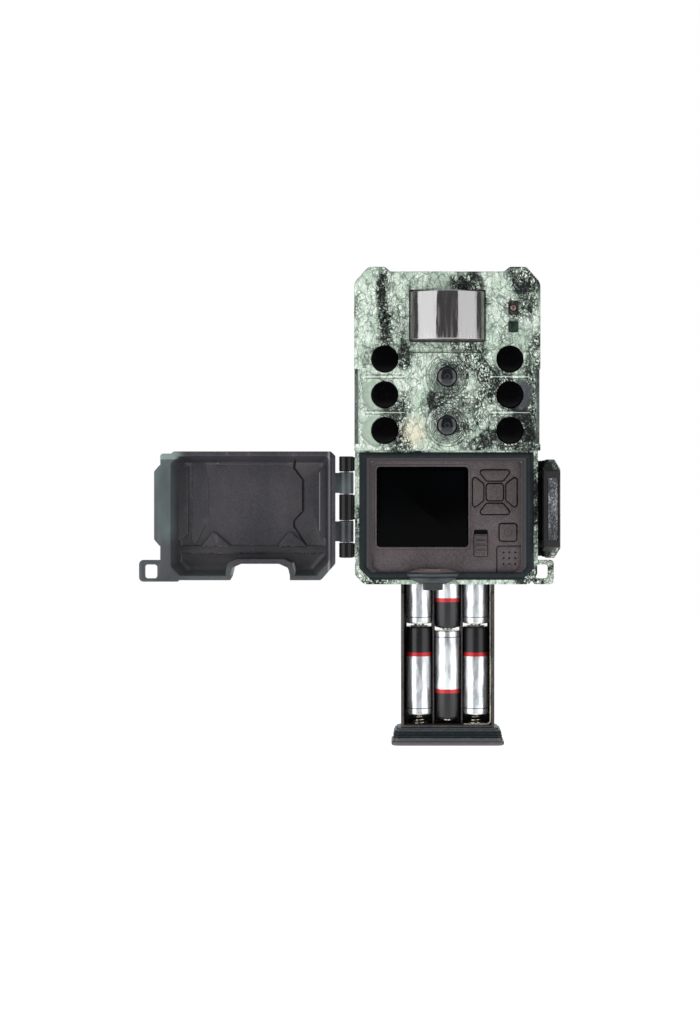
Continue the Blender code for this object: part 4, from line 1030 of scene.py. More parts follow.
key_brown = moulded("key_brown", rgb(58, 50, 51), rgb(82, 74, 75), 0.42, 1500.0, 0.00006)
for way, line in key_lines.items():
    y0, y1 = key_nodes[way][2:4]
    cx = sum(px for px, _ in line) / len(line)
    cz = sum(pz for _, pz in line) / len(line)
    cap = block(line, y0, y1, 0.45, 0.0)
    if way == "capture":
        mark = rod(cx, cz, 2.3, y0 - 1, y0 + 0.35, count=40)
        cut(cap, cut(mark, rod(cx, cz, 1.6, y0 - 2, y0 + 1, count=40)))
    ready(cap, f"key_{way}", f"button_{way}", key_brown, "brown_plastic", f"button_{way}")

knob = block(round_box(switch[0], switch[1], switch[4], switch[5], 0.7), panel_y - 0.8, switch[3], 0.3)
weld(knob, *[
    block(round_box(switch[0] + 0.7, switch[1] - 0.7, z, z + 1.3, 0.4), switch[2], panel_y, 0.35, 0.0)
    for z in [switch[4] + 2.2 + 2.6 * i for i in range(4)]
])
ready(knob, "switch_knob", "power_switch", key_brown, "brown_plastic", "power_switch")

# ---- Display ----
# A dark clear pane glued into the panel, over the display module.

screen = block(round_box(screen_x0, screen_x1, screen_z0, screen_z1, 1.7), screen_y,
               span("lcd_window")[3], 0.2, 0.0)
display_black, shader, here = begin("display_black", 0.12, 0.0, 0.04)
haze = noise(here, 14.0, 2.0)
x, _, z = places(here)
screen_mid_x, _, screen_mid_z = centre("lcd_window")
inset_x = (screen_x1 - screen_x0) / 2 - (x - screen_mid_x).size()
inset_z = (screen_z1 - screen_z0) / 2 - (z - screen_mid_z).size()
border_band = 1 - fade(inset_x.smallest(inset_z), 2.0, 2.25)
glow = blend(fade(haze, 0.35, 0.65), rgb(1, 1, 1), rgb(3, 4, 5))
feed(shader, Base_Color=blend(border_band, glow, rgb(1, 1, 2)),
     Roughness=0.12 + noise(here, 90.0, 3.0) * 0.07)
ready(screen, "display_pane", "case", display_black, "dark_window", "lcd_window")

# ---- Tray release ----
# A slate moulding with a bowed front that is pushed in to free the battery tray. It shows through
# the notch in the closed door, and its narrow foot reaches down in front of the tray's cap.

release_back = rim_y - 2.6
half_chord = (release_x1 - release_x0) / 2
bow_rise = 8.5
bow_radius = (half_chord ** 2 + bow_rise ** 2) / (2 * bow_rise)
bow_reach = math.asin(half_chord / bow_radius)


def bow_line(inset, share=1.0):
    """The release seen from above: a bowed front, or the middle share of it."""
    radius, centre_y = bow_radius - inset, release_back - bow_rise + bow_radius
    angles = [bow_reach * share * (i / 14 - 1) for i in range(29)]
    return [(release_x + radius * math.sin(a), centre_y - radius * math.cos(a)) for a in angles]


top, foot = release_z1, case_z0 + 0.8
release = loft([
    (bow_line(2.6, 0.46), foot), (bow_line(1.6, 0.52), foot + 0.3), (bow_line(1.0, 0.60), foot + 0.9),
    (bow_line(0.7, 0.76), foot + 1.9), (bow_line(0.7, 0.90), foot + 3.0),
    (bow_line(1.2, 0.95), foot + 3.6), (bow_line(0.2, 0.98), foot + 4.3),
    (bow_line(0.0), foot + 5.0), (bow_line(0.0), top - 2.6), (bow_line(0.5, 0.99), top - 2.0),
    (bow_line(2.0, 0.96), top - 1.4), (bow_line(4.4, 0.90), top - 0.8),
    (bow_line(6.6, 0.84), top - 0.3), (bow_line(7.6, 0.80), top),
], "Z")
weld(
    release,
    cuboid(release_x - 4, release_x + 4, release_back - 3.4, panel_back + 0.5, stem_z - 0.7, stem_z + 0.7),
    block(round_box(release_x - 5.4, release_x + 5.4, release_back - 5.0, release_back - 1.0, 1.2),
          release_z0, foot + 1.0, 0.5, 0.0, "Z"),
)
soften(release, 0.15)
slate, shader, here = begin("release_slate", 0.4)
z = places(here)[2]
grit = noise(here, 1100.0, 3.0, 0.6)
scuff = fade(noise(here, 240.0, 4.0, 0.65), 0.56, 0.7)
colour = blend(fade(grit, 0.35, 0.65), rgb(24, 31, 36), rgb(40, 49, 55))
# A pale painted highlight along the sloped top edge, and darker colour at and below the foot.
colour = blend(fade(z, top - 2.0, top - 1.3) * 0.85, colour, rgb(128, 110, 108))
colour = blend((1 - fade(z, foot + 0.2, foot + 1.4)) * 0.7, colour, rgb(8, 9, 10))
feed(shader, Base_Color=blend(scuff * 0.25, colour, rgb(70, 76, 80)),
     Roughness=0.32 + grit * 0.18, Normal=bumped(here, grit, 0.4, 0.00005))
ready(release, "release_catch", "tray_release", slate, "slate_plastic", "tray_release")


# ---- Hinge pin ----
# A straight, zinc-plated steel pin with eased ends. It runs through the case's three barrels and
# the door's two, and stays with the case.


def steel_pin(name, node, ease):
    """A plain pin with eased ends, as its node has it."""
    x0, x1, _, _, low, high = span(node)
    made = turned(*centre(node)[:2], eased((x1 - x0) / 2, low, high, ease), "Z", 32)
    ready(made, name, "case", zinc, "steel", node)


steel_pin("hinge_rod", "hinge_pin", 0.4)

# ---- Door ----
# A deep, tray-shaped moulding with cut corners, brown inside and printed outside. It swings on two
# barrels of its own, and has a flange that the latch pulls on and an ear for a padlock.

door_rim, door_deep = hinge_y + 0.3, 19.4
hinge_out = 4.7
door_near, door_far = hinge_x - 6.0, hinge_x - (half * 2 + hinge_out - 6.1)
door_top, door_low = hood_z - 0.3, case_z0 + 2.2


def door_line(inset, low_inset):
    """The door seen from the front, its corners cut and eased, drawn in by inset."""
    near, far, high, low = door_near - inset, door_far + inset, door_top - inset, door_low + low_inset
    return fillet([
        (far + 5.0, low), (near - 8.0, low), (near, low + 9.0), (near, high - 2.5),
        (near - 2.5, high), (far + 4.0, high), (far, high - 4.0), (far, low + 5.0),
    ], [1.8, 2.2, 2.2, 1.2, 1.2, 1.6, 1.6, 1.8], 4)


def notch(clear, reach):
    """The arch in the lower wall, for the tray release, widened by clear."""
    x0 = 2 * hinge_x - release_x1 - 1.8 - clear
    x1 = 2 * hinge_x - release_x0 + 1.8 + clear
    high = release_z1 + 2.6 + clear
    return fillet([(x0, door_low - reach), (x1, door_low - reach), (x1, high - 6.5),
                   (x1 - 1.0, high - 2.2), (x1 - 6.0, high), (x0 + 6.0, high),
                   (x0 + 1.0, high - 2.2), (x0, high - 6.5)], [0, 0, 1, 2.0, 2.5, 2.5, 2.0, 1])


door = loft([
    (door_line(0.35, 0.35), door_rim), (door_line(0.08, 0.08), door_rim + 0.12),
    (door_line(0.0, 0.0), door_rim + 0.4), (door_line(2.7, 1.6), door_rim + door_deep - 3.2),
    (door_line(3.5, 2.3), door_rim + door_deep - 1.2),
    (door_line(4.8, 3.6), door_rim + door_deep - 0.25), (door_line(6.4, 5.2), door_rim + door_deep),
])
floor_y = door_rim + door_deep - wall


def hollow():
    """The room inside the door, less the wall that stands round the notch."""
    room_inside = loft([
        (door_line(wall - 0.4, wall - 0.4), door_rim - 1), (door_line(wall - 0.4, wall - 0.4), door_rim),
        (door_line(wall, wall), door_rim + 0.4), (door_line(wall + 2.6, wall + 1.5), floor_y - 2.0),
        (door_line(wall + 3.6, wall + 2.5), floor_y - 0.5),
        (door_line(wall + 4.8, wall + 3.7), floor_y),
    ])
    return cut(room_inside, block(notch(wall, 5), door_rim - 10, door_rim + 2 * door_deep))


cut(door, hollow(), block(notch(0.0, 10), door_rim - 5, door_rim + 2 * door_deep))

lip = block(fillet([
    (door_far - 3.2, door_low + 4.0), (door_far + 8.0, door_low + 4.0), (door_far + 8.0, door_top - 1.2),
    (door_far - 2.2, door_top - 1.2), (door_far - 3.2, door_top - 2.2),
], 0.8), door_rim, door_rim + 2.4, 0.4, 0.4)
flange_x = hinge_x - (half * 2 + hinge_out + 0.5)
flange_low, flange_high = door_low + 18.8, door_top - 7.5
ear_x = 2 * hinge_x - hole_x
door_parts = [
    block(fillet([(door_far + 2.0, flange_low - 2.0), (door_far + 2.0, flange_high + 2.0),
                  (flange_x + 3.0, flange_high), (flange_x, flange_high - 3.5),
                  (flange_x, flange_low + 3.5), (flange_x + 3.0, flange_low)],
                 [1.0, 1.0, 1.8, 1.8, 1.8, 1.8]), door_rim, door_rim + 2.6, 0.5, 0.5),
    lip,
    block(fillet([(ear_x - hole_w / 2 - 3.2, ear_low + 1.4), (door_far + 7.0, ear_low + 1.4),
                  (door_far + 7.0, ear_low + hole_h + 5.7),
                  (ear_x - hole_w / 2 - 3.2, ear_low + hole_h + 5.7)], [2.4, 1.0, 1.0, 2.4]),
          door_rim, door_rim + ear_t, 0.5, 0.5),
]
cut(door_parts[-1], hollow())
cut(lip, hollow())
for high, low in list(zip(barrel_ends, barrel_ends[1:]))[1::2]:
    door_parts.append(barrel(high - barrel_gap, low + barrel_gap, door_near - 1.0, hinge_x,
                             door_rim, hinge_y + barrel_r - 0.35))
# What stands on the door's floor: stepped fields, each with its height, a low ledge and two gussets.
fields = [
    (2.2, [(-152.0, -16.5), (-143.0, -22.0), (-143.0, -59.0), (-152.0, -66.0)]),
    (1.4, [(-66.2, -18.0), (-70.4, -24.5), (-70.4, -57.0), (-66.2, -63.0)]),
    (0.7, [(-128.0, -16.0), (-126.5, -20.6), (-88.0, -20.6), (-85.5, -16.0)]),
    (0.6, [(-134.0, -17.0), (-132.0, -30.0), (-132.0, -50.0), (-138.0, -64.0), (-141.0, -64.0),
           (-141.0, -17.0)]),
]
for rise, line in fields:
    door_parts.append(block(fillet(line, 0.8, 3), floor_y - rise, floor_y + 1, 0.5, 0.0))
door_parts.append(block(rectangle(door_far + 4.0, door_near - 4.0, -69.5, -65.4),
                        floor_y - 1.4, floor_y + 1, 0.5, 0.0))
for left in (-135.4, -93.1):
    door_parts.append(block(fillet([(left, -65.6), (left + 16.2, -65.6), (left + 6.5, -57.3)],
                                   [0.4, 0.4, 1.2], 3), floor_y - 2.4, floor_y + 1, 0.4, 0.0))
weld(door, *door_parts)
cut(door, hinge_bore(), ear_hole(ear_x, door_rim))
dark_line = [(-83.4, -14.0), (-84.2, -22.3), (-79.2, -28.8), (-79.2, -45.9), (-84.2, -51.5),
             (-84.2, -54.5), (-77.6, -64.8)]
track = [(x - 0.7, z) for x, z in dark_line] + [(x + 0.7, z) for x, z in dark_line[::-1]]
cut(door, block(track, floor_y - 3.0, floor_y + 1.1))
soften(door, 0.2)

door_brown, shader, here = begin("door_brown", 0.46, 0.0, 0.4)
x, y, z = places(here)
grit = noise(here, 1300.0, 3.0, 0.6)
cloud = noise(stretched(here, 1.0, 0.5, 0.5), 42.0, 3.0)
colour = blend(fade(grit * 0.5 + cloud * 0.5, 0.36, 0.64), rgb(40, 40, 45), rgb(62, 58, 62))
scuffs = fade(noise(stretched(wavered(here, 90.0, 0.012), 1.0, 1.0, 0.3), 160.0, 5.0, 0.7), 0.60, 0.72)
colour = blend(scuffs * 0.35, colour, rgb(104, 106, 112))
# Painted light: pale highlights where light catches the walls and the upper corner, light lines along the
# wall and the step, a dark line along the rim, and shade in the groove.
sides = (1 - fade(x, -150.5, -147.5)).largest(1 - fade(z, -77.5, -75.0))
wall_highlight_tone = blend(fade(z, -66.0, -56.0), rgb(62, 68, 69), rgb(80, 94, 95))
corner_highlight = fade(x, -161.0, -158.0) * (1 - fade(x, -150.0, -142.0)) * (z > -17.5) * (y < door_rim + 3.0)
colour = blend(sides * (0.35 + fade(cloud, 0.4, 0.6) * 0.45), colour, wall_highlight_tone)
colour = blend(corner_highlight * 0.5, colour, rgb(146, 162, 156))
rim_shade_line = (y < door_rim + 1.2) * between(z, -80.0, -14.0)
colour = blend(near(x, door_near - 2.3, 0.15, 0.5) * rim_shade_line * 0.8, colour, rgb(18, 19, 21))
wall_highlight = near(x, door_near - 3.6, 0.3, 0.8) * (y < floor_y - 4.0)
colour = blend(wall_highlight * 0.45, colour, rgb(150, 156, 160))
step_highlight = near(x, -70.0, 0.15, 0.5) * between(z, -57.0, -24.5)
colour = blend(step_highlight * 0.4, colour, rgb(140, 146, 150))
on_barrels = fade(x, -61.0, -60.4) * (x > door_near - 0.5)
colour = blend(on_barrels, colour, blend(fade(cloud, 0.45, 0.6), rgb(30, 34, 36), rgb(66, 74, 76)))
track_shade = (y > floor_y + 0.3) * (z > -65.2) * between(x, -86.0, -76.0)
colour = blend(track_shade, colour, rgb(5, 5, 6))
feed(shader, Base_Color=colour, Roughness=0.30 + grit * 0.18 - on_barrels * 0.14,
     Normal=bumped(here, noise(here, 2400.0), 0.4, 0.00008))
ready(door, "compartment_door", "door", door_brown, "brown_plastic", "door")
# The outside takes the print: the faces that look backwards or away from the door's middle.
door.data.materials.append(dipped("bark_print_door"))
for face in door.data.polygons:
    spot, away = face.center / MM, face.normal
    outside = away.y > 0.35 and spot.y > door_rim + 1.0
    core = Vector((door_near / 2 + door_far / 2, spot.y, door_top / 2 + door_low / 2))
    outward = (spot - core).dot(away) > 0 and spot.y > door_rim + 0.5 and abs(away.y) < 0.8
    in_notch = (abs(spot.x - 2 * hinge_x + release_x) < half_chord + 2.2
                and spot.z < release_z1 + 2.8 + wall)
    if (outside or outward) and spot.x < hinge_x - 6.4 and not in_notch:
        face.material_index = 1

# ---- Latch ----
# A black sprung lever on a pin between two lugs. Its hook pulls the door's flange shut. A frosted
# plate is set into its front and a border runs round its outer face. It is drawn a little open.

steel_pin("latch_rod", "latch_pin", 0.3)

latch_low, latch_high = case_z0 + 14.3, hood_z - 4.7
in_x, out_x = latch_x - 2.0, latch_x + 2.0
hook_y, hook_front, tip_x = rim_y - 4.2, rim_y - 7.4, latch_x - 8.0
profile = fillet([
    (in_x, latch_y - 1.0), (in_x, hook_y), (tip_x, hook_y), (tip_x, hook_front),
    (out_x - 1.0, hook_front), (out_x, hook_front + 1.0), (out_x, latch_y - 1.0),
], [0.8, 1.2, 0.9, 0.9, 0.9, 0.9, 0.8], 4)
lever = block(profile, latch_low, latch_high, 0.5, 0.5, "Z")
weld(lever, turned(latch_x, latch_y, eased(2.9, latch_low + 0.5, latch_high - 0.5, 0.4), "Z", 40))
lever_cuts = [rod(latch_x, latch_y, latch_fit, latch_low - 5, latch_high + 5, "Z")]
for low in lug_lows:
    lever_cuts.append(rod(latch_x, latch_y, 6.4, low - lug_gap, low + lug_tall + lug_gap, "Z", 40))
for end, sign in ((latch_low, 1), (latch_high, -1)):
    lever_cuts.append(block(
        [(hook_front - 5, end - sign * 5), (hook_front + 9.0, end - sign * 5),
         (hook_front + 9.0, end), (hook_front - 5, end + sign * 10.0)],
        tip_x - 5, out_x + 5, axis="X",
    ))
border = fillet([(hook_front + 1.6, latch_low + 9.0), (latch_y - 3.2, latch_low + 6.5),
                 (latch_y - 3.2, latch_high - 6.5), (hook_front + 1.6, latch_high - 9.0)], 1.2)
lever_cuts.append(line_cutter(border, 0.6, out_x - 0.5, out_x + 2, "X"))
face_plate = fillet([(tip_x + 1.2, latch_low + 9.5), (out_x - 1.6, latch_low + 9.5),
                     (out_x - 1.6, latch_high - 9.5), (tip_x + 1.2, latch_high - 9.5)], 1.0)
cut(lever, *lever_cuts, line_cutter(face_plate, 0.7, hook_front - 1, hook_front + 0.6))
soften(lever, 0.2)
ajar = math.radians(20.0)
swing = Matrix.Rotation(ajar, 4, "Z")
lever.data.transform(Matrix.Translation((latch_x, latch_y, 0)) @ swing
                     @ Matrix.Translation((-latch_x, -latch_y, 0)))
latch_black, shader, here = begin("latch_black", 0.4, 0.0, 0.25)
x, y, z = places(here)
across = (x - latch_x) * math.cos(ajar) + (y - latch_y) * math.sin(ajar)
grit = noise(here, 1000.0, 3.0, 0.6)
black = blend(fade(grit, 0.35, 0.65), rgb(6, 6, 7), rgb(15, 14, 15))
print_colour, lines, speckle = bark(here)
on_face = fade(across, 1.2, 1.6)
middle = (latch_low + latch_high) / 2
plate_end = (latch_high - latch_low) / 2 - 9.5
on_plate = near(z, middle, plate_end - 0.8, plate_end - 0.3) * (across > -6.9) * (y < hook_front + 5.0)
frosted = blend(fade(speckle, 0.4, 0.58), rgb(70, 72, 78), rgb(152, 158, 162))
plate_tone = blend(lines, frosted, rgb(26, 28, 29))
plate_tone = blend(fade(across, -6.0, -5.4) * (1 - fade(across, -0.4, 0.2)), rgb(36, 31, 35), plate_tone)
outer_end = fade((z - middle).size(), plate_end + 3.0, plate_end + 4.5) * fade(across, -2.5, -1.0)
colour = blend(on_plate, black, plate_tone)
colour = blend(on_face.largest(outer_end) * 0.8, colour, print_colour)
feed(shader, Base_Color=colour, Roughness=0.34 + grit * 0.2,
     Normal=bumped(here, noise(here, 2300.0), 0.35, 0.00007))
ready(lever, "latch_lever", "latch", latch_black, "black_plastic", "latch")


# ---- Battery tray ----
# A brown moulded frame, open at the front, with two dividers between its three columns of cells. It
# slides up into the case, and its dark cap is clipped to its foot.

tray_floor = tray_z0 + 1.0
pitch, cell_r = 15.75, 7.25
tray_x, tray_y, _ = centre("battery_tray")
cell_x = [tray_x - pitch, tray_x, tray_x + pitch]
tray = block(round_box(tray_x0, tray_x1, tray_y0, tray_y1, 1.2), tray_z0, tray_z1, 0.2, 0.6, "Z")
tray_side, tray_back = 1.6, 1.2
edges = [tray_x0 + tray_side]
for x in (tray_x - pitch / 2, tray_x + pitch / 2):
    edges += [x - 0.4, x + 0.4]
edges.append(tray_x1 - tray_side)
hollows = [
    block(round_box(x0, x1, tray_y0 - 8, tray_y1 - tray_back, 2.2), tray_floor, tray_z1 - 2.0, axis="Z")
    for x0, x1 in zip(edges[::2], edges[1::2])
]
# a window in the back wall behind each joint between cells
for number in (1, 3, 5):
    joint_x = cell_x[number // 2]
    joint_z = span(f"battery_{number}")[5] + 0.1
    hollows.append(block(round_box(joint_x - cell_r + 0.4, joint_x + cell_r - 0.4, joint_z - 4.0,
                                   joint_z + 4.0, 1.0), tray_y1 - 6, tray_y1 + 5))
cut(tray, *hollows)
cut(tray, block(round_box(edges[0], edges[-1], tray_y0 - 3, tray_y0 + 4.5, 0.3), tray_floor + 0.01,
                tray_z1 - 2.01, axis="Z"))
# finger dips along both side walls
middle_z, dip_apart = (tray_floor + tray_z1) / 2, 26
cut(tray, *[
    block(fillet([(tray_y0 - 2, z - 9), (tray_y0 + 1.1, z - 8), (tray_y0 + 1.1, z + 8),
                  (tray_y0 - 2, z + 9)], [0, 2, 2, 0]), tray_x0 - 1, tray_x1 + 1, axis="X")
    for z in (middle_z - dip_apart, middle_z + dip_apart)
])
soften(tray, 0.18)
tray_brown = moulded("tray_brown", rgb(44, 40, 40), rgb(70, 64, 64), 0.42, 900.0)
ready(tray, "cell_tray", "battery_tray", tray_brown, "brown_plastic", "battery_tray")

# ---- Tray cap ----
# A slate moulding that closes the case's bottom. It has a brown foot flange, a straight wall above
# it and a groove round it for the seal.

cap_mid_x, cap_mid_y, _ = centre("tray_cap")
cap_half_x, cap_half_y = (cap_x1 - cap_x0) / 2, (cap_y1 - cap_y0) / 2


def cap_line(inset):
    dx, dy = cap_half_x - inset, cap_half_y - inset
    return round_box(cap_mid_x - dx, cap_mid_x + dx, cap_mid_y - dy, cap_mid_y + dy, 3.0)


flange_top = cap_z0 + 2.4
groove_low, groove_high = flange_top + 2.0, cap_z1 - 1.9
cap = loft([
    (cap_line(0.9), cap_z0), (cap_line(0.3), cap_z0 + 0.2), (cap_line(0.0), cap_z0 + 0.8),
    (cap_line(0.0), flange_top - 0.5), (cap_line(0.3), flange_top - 0.1), (cap_line(1.0), flange_top),
    (cap_line(1.0), groove_low), (cap_line(3.0), groove_low), (cap_line(3.0), groove_high),
    (cap_line(1.9), groove_high), (cap_line(2.0), cap_z1 - 1.2), (cap_line(2.9), cap_z1 - 1.1),
    (cap_line(3.1), cap_z1 - 0.3), (cap_line(3.5), cap_z1),
], "Z")
soften(cap, 0.12)
cap_slate, shader, here = begin("cap_slate", 0.42)
z = places(here)[2]
grit = noise(here, 1100.0, 3.0, 0.6)
wear = fade(noise(here, 150.0, 4.0, 0.65), 0.5, 0.68)
colour = blend(fade(grit, 0.35, 0.65), rgb(38, 46, 50), rgb(54, 62, 66))
colour = blend((1 - fade(z, cap_z0 + 3.4, cap_z0 + 3.9)) * 0.9, colour, rgb(74, 69, 71))
feed(shader, Base_Color=blend(wear * 0.2, colour, rgb(96, 98, 98)),
     Roughness=0.34 + grit * 0.2, Normal=bumped(here, grit, 0.4, 0.00006))
ready(cap, "tray_foot_cap", "battery_tray", cap_slate, "slate_plastic", "tray_cap")

# ---- Cap seal ----
# A slate rubber ring with two lips, stretched into the cap's groove. The lips wipe the mouth of
# the bay as the tray is pushed home.

ring_low, ring_high = groove_low + 0.2, groove_high - 0.2
ring_mid = (ring_low + ring_high) / 2
ring = loft([
    (cap_line(1.5), ring_low), (cap_line(1.1), ring_low + 0.25), (cap_line(1.15), ring_mid - 0.5),
    (cap_line(1.7), ring_mid - 0.15), (cap_line(1.7), ring_mid + 0.15),
    (cap_line(1.4), ring_mid + 0.5), (cap_line(1.5), ring_high - 0.25), (cap_line(1.9), ring_high),
], "Z")
cut(ring, loft([(cap_line(2.95), groove_low - 1), (cap_line(2.95), groove_high + 1)], "Z"))
ready(ring, "tray_ring", "battery_tray", seal_grey, "seal_rubber", "tray_seal")

# ---- Cells ----
# Six cells in three pairs, the middle pair the other way up. Each is a steel can in a printed
# sleeve: silver, with a black band at its button end and a plain red band below that.

cell_nodes = [span(f"battery_{i}") for i in range(1, 7)]
middle_pair = (3, 4)
button_r, button_h = 2.75, 1.5
wrap, shader, here = begin("cell_sleeve", 0.24, 0.75)
x, y, z = places(here)
middle_column = near(x, tray_x, pitch / 2 - 0.1, pitch / 2)
full = cell_nodes[1][4] - cell_nodes[0][4]


def up_cell(foot):
    """How far a point is up its own cell, in a pair that stands on foot."""
    return (z - foot) - ((z - foot) > full - 0.1) * full


cell_tall = 50.3
upright, turned_over = up_cell(cell_nodes[0][4]), cell_tall - up_cell(cell_nodes[2][4])
along = upright + middle_column * (turned_over - upright)
scratch = noise(stretched(here, 1.0, 1.0, 0.25), 420.0, 3.0)
silver = blend(fade(scratch, 0.4, 0.62), rgb(178, 182, 186), rgb(222, 226, 228))
can = blend(fade(scratch, 0.4, 0.62), rgb(176, 174, 168), rgb(214, 212, 206))
black_band, red_band = between(along, 34.6, 48.9), between(along, 32.4, 34.6)
colour = blend(black_band, silver, rgb(22, 22, 25))
colour = blend(red_band, colour, rgb(168, 30, 34))
colour = blend(between(along, 3.4, 3.8), colour, rgb(60, 62, 68))
colour = blend((along < 0.9).largest(along > 48.9), colour, can)
feed(shader, Base_Color=colour, Metallic=0.85 - black_band * 0.6 - red_band * 0.5,
     Roughness=0.22 + scratch * 0.14)
for number, (x0, x1, y0, y1, z0, z1) in enumerate(cell_nodes, 1):
    cx, cy, size = (x0 + x1) / 2, (y0 + y1) / 2, z1 - z0
    body_end = size - button_h
    ends = [(3.4, 0.25), (5.8, 0.2), (6.3, 0.0), (6.9, 0.1), (7.2, 0.5), (7.25, 1.0), (7.22, 1.4),
            (7.25, 1.8), (7.25, body_end - 1.2), (7.1, body_end - 0.6), (6.6, body_end - 0.1),
            (6.0, body_end), (4.9, body_end + 0.05), (4.6, body_end + 0.5), (3.2, body_end + 0.6),
            (button_r, body_end + 0.7), (button_r, size - 0.3), (2.4, size)]
    if number in middle_pair:
        ends = [(r, size - at) for r, at in reversed(ends)]
    cell = turned(cx, cy, [(r, z0 + at) for r, at in ends], "Z", 56)
    ready(cell, f"cell_{number}", "battery_tray", wrap, "cell_wrap", f"battery_{number}")

# ---- Contact springs and strip ----
# Three tapered coils of bright spring wire stand on the tray's floor and push the cells up. A strip
# of the same steel runs down the side of the tray and turns in under the right-hand cell.

spring_steel = metal("spring_steel", rgb(150, 146, 134), rgb(212, 206, 190), 0.25)


def coil(node, cx, low_r, high_r, name):
    """A tapered compression spring with its ends closed flat."""
    z0, z1 = span(node)[4:]
    wire, turns, steps, sides = 0.4, 4, 28, 10
    bm = bmesh.new()
    rings = []
    for i in range(turns * steps + 1):
        share = i / (turns * steps)
        rise = min(max((share * turns - 0.7) / (turns - 1.4), 0.0), 1.0)
        angle = 2 * math.pi * turns * share
        radius = low_r + (high_r - low_r) * rise
        outward = Vector((math.cos(angle), math.sin(angle), 0.0))
        core = Vector((cx, tray_y, z0 + wire + (z1 - z0 - 2 * wire) * rise)) + outward * radius
        rings.append([
            bm.verts.new(core + outward * wire * math.cos(2 * math.pi * k / sides)
                         + Vector((0, 0, wire * math.sin(2 * math.pi * k / sides))))
            for k in range(sides)
        ])
    for low, high in zip(rings, rings[1:]):
        for k in range(sides):
            bm.faces.new((low[k], low[(k + 1) % sides], high[(k + 1) % sides], high[k]))
    bm.faces.new(rings[0])
    bm.faces.new(rings[-1])
    ready(keep(bm, name), name, "battery_tray", spring_steel, "steel", node)


for word, cx, low_r, high_r in (("left", cell_x[0], 4.2, 2.6), ("right", cell_x[2], 4.2, 2.6),
                                ("middle", cell_x[1], 2.6, 4.2)):
    coil(f"contact_spring_{word}", cx, low_r, high_r, f"spring_{word}")

strip_x0, strip_x, strip_y0, strip_y1, strip_low, strip_high = span("contact_strip")
strip = block(fillet([
    (strip_x, strip_high), (strip_x - 0.7, strip_high), (strip_x - 0.7, strip_low + 1.8),
    (strip_x - 2.0, strip_low + 0.7), (strip_x0, strip_low + 0.7), (strip_x0, strip_low),
    (strip_x - 1.7, strip_low), (strip_x, strip_low + 1.5),
], [0.1, 0.1, 0.6, 0.6, 0.1, 0.1, 0.6, 0.8], 4), strip_y0, strip_y1, 0.1, 0.1)
ready(strip, "contact_ribbon", "battery_tray", spring_steel, "steel", "contact_strip")

# ---- Inside the case ----
# What stays hidden behind the shells: two circuit boards, the sensor can, the sleeve the tray runs
# in, the display module, the speaker and the microphone. Their frame solids keep their shape.

inner_black = moulded("inner_black", rgb(14, 14, 15), rgb(30, 30, 31), 0.45, 800.0)
board_green = moulded("board_green", rgb(5, 20, 13), rgb(10, 32, 20), 0.4, 500.0)
for node, finish in {
    "sensor_board": board_green, "main_board": board_green, "pir_sensor": zinc,
    "battery_sleeve": inner_black, "lcd_module": inner_black, "speaker": inner_black,
    "microphone": inner_black,
}.items():
    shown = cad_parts[node]
    shown.data.materials.clear()
    shown.data.materials.append(finish)


# ---- Floor, lights and camera ----
# A pale sheet far below, two tall soft boxes whose reflections stand in the sensor cover, a broad
# overhead light, and a long lens at the height of the door.


floor_mesh = bpy.data.meshes.new("floor")
bm = bmesh.new()
bmesh.ops.create_circle(bm, cap_ends=True, segments=96, radius=6.0)
bmesh.ops.translate(bm, verts=bm.verts[:], vec=(0.0, 0.0, -0.75))
bm.to_mesh(floor_mesh)
bm.free()
floor = bpy.data.objects.new("floor", floor_mesh)
pale_floor, shader, here = begin("pale_floor", 0.8)
feed(shader, Base_Color=blend(noise(here, 3.0), (0.9, 0.9, 0.9), (0.8865, 0.8865, 0.8865)))
shader.inputs["Emission Color"].default_value = (1.0, 1.0, 1.0, 1.0)
shader.inputs["Emission Strength"].default_value = 1.0
floor_mesh.materials.append(pale_floor)
bpy.context.scene.collection.objects.link(floor)


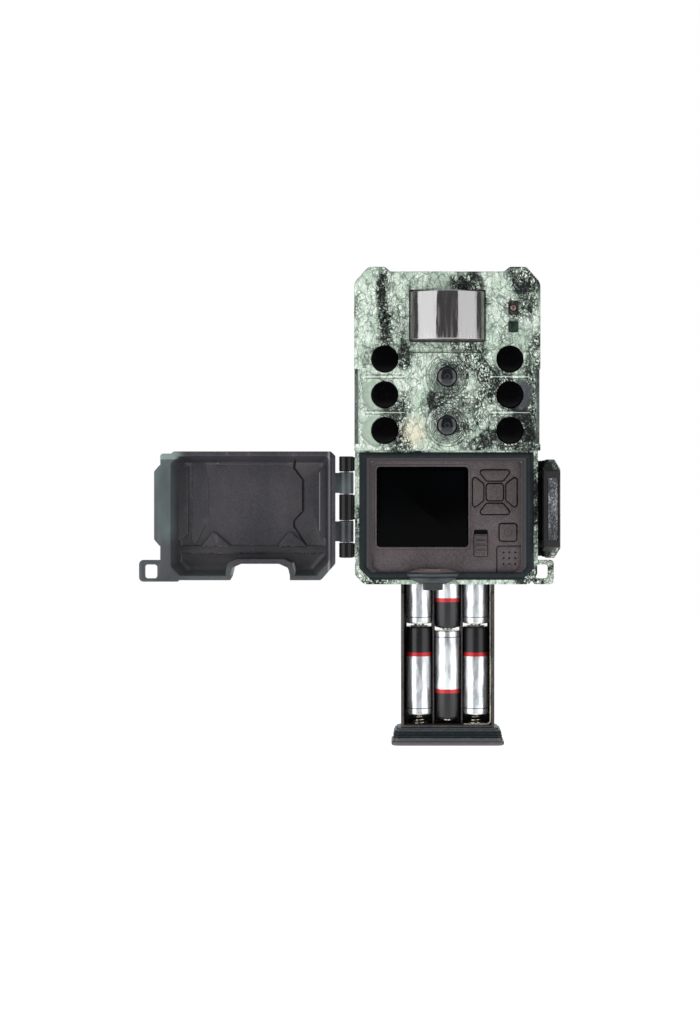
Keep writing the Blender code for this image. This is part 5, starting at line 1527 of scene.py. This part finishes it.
def soft_box(name, place, target, width, height, power):
    light = bpy.data.lights.new(name, "AREA")
    light.shape = "RECTANGLE"
    light.size, light.size_y, light.energy = width, height, power
    lamp = bpy.data.objects.new(name, light)
    lamp.location = place
    lamp.rotation_euler = (Vector(target) - Vector(place)).to_track_quat("-Z", "Y").to_euler()
    bpy.context.scene.collection.objects.link(lamp)
    return lamp


middle = (0.0, -0.04, 0.0)
for side, word in ((-1, "left"), (1, "right")):
    angle = math.radians(50)
    place = (side * 1.3 * math.sin(angle), -1.3 * math.cos(angle), 0.12)
    soft_box(f"soft_box_{word}", place, middle, 1.2, 1.5, 13 if side < 0 else 10)
soft_box("overhead", (0.0, -0.35, 1.5), (0.0, -0.05, 0.0), 1.4, 1.0, 9)
soft_box("back_light", (0.3, 1.6, 0.6), (0.0, 0.0, 0.0), 1.6, 1.2, 9)

world = bpy.data.worlds.new("studio")
bpy.context.scene.world = world
world.use_nodes = True
tree = world.node_tree
sky = tree.nodes["Background"]
sky.inputs["Color"].default_value = (0.9, 0.93, 0.96, 1.0)
sky.inputs["Strength"].default_value = 0.16
seen = tree.nodes.new("ShaderNodeBackground")
seen.inputs["Color"].default_value = (1.0, 1.0, 1.0, 1.0)
seen.inputs["Strength"].default_value = 1.0
path = tree.nodes.new("ShaderNodeLightPath")
choose = tree.nodes.new("ShaderNodeMixShader")
tree.links.new(path.outputs["Is Camera Ray"], choose.inputs[0])
tree.links.new(sky.outputs[0], choose.inputs[1])
tree.links.new(seen.outputs[0], choose.inputs[2])
tree.links.new(choose.outputs[0], tree.nodes["World Output"].inputs["Surface"])
bpy.context.scene.view_settings.view_transform = "Standard"

lens = bpy.data.cameras.new("long_lens")
lens.lens = 66.5
lens.sensor_width = 36.0
lens.clip_end = 20.0
eye_height, stand_off, eye_side = -0.0233, 1.0, -0.0254
camera = bpy.data.objects.new("camera", lens)
camera.location = (eye_side, front_y * MM - stand_off, eye_height)
camera.rotation_euler = (math.radians(90), 0.0, 0.0)
lens.shift_x, lens.shift_y = -0.0495, -0.03465
bpy.context.scene.collection.objects.link(camera)
bpy.context.scene.camera = camera
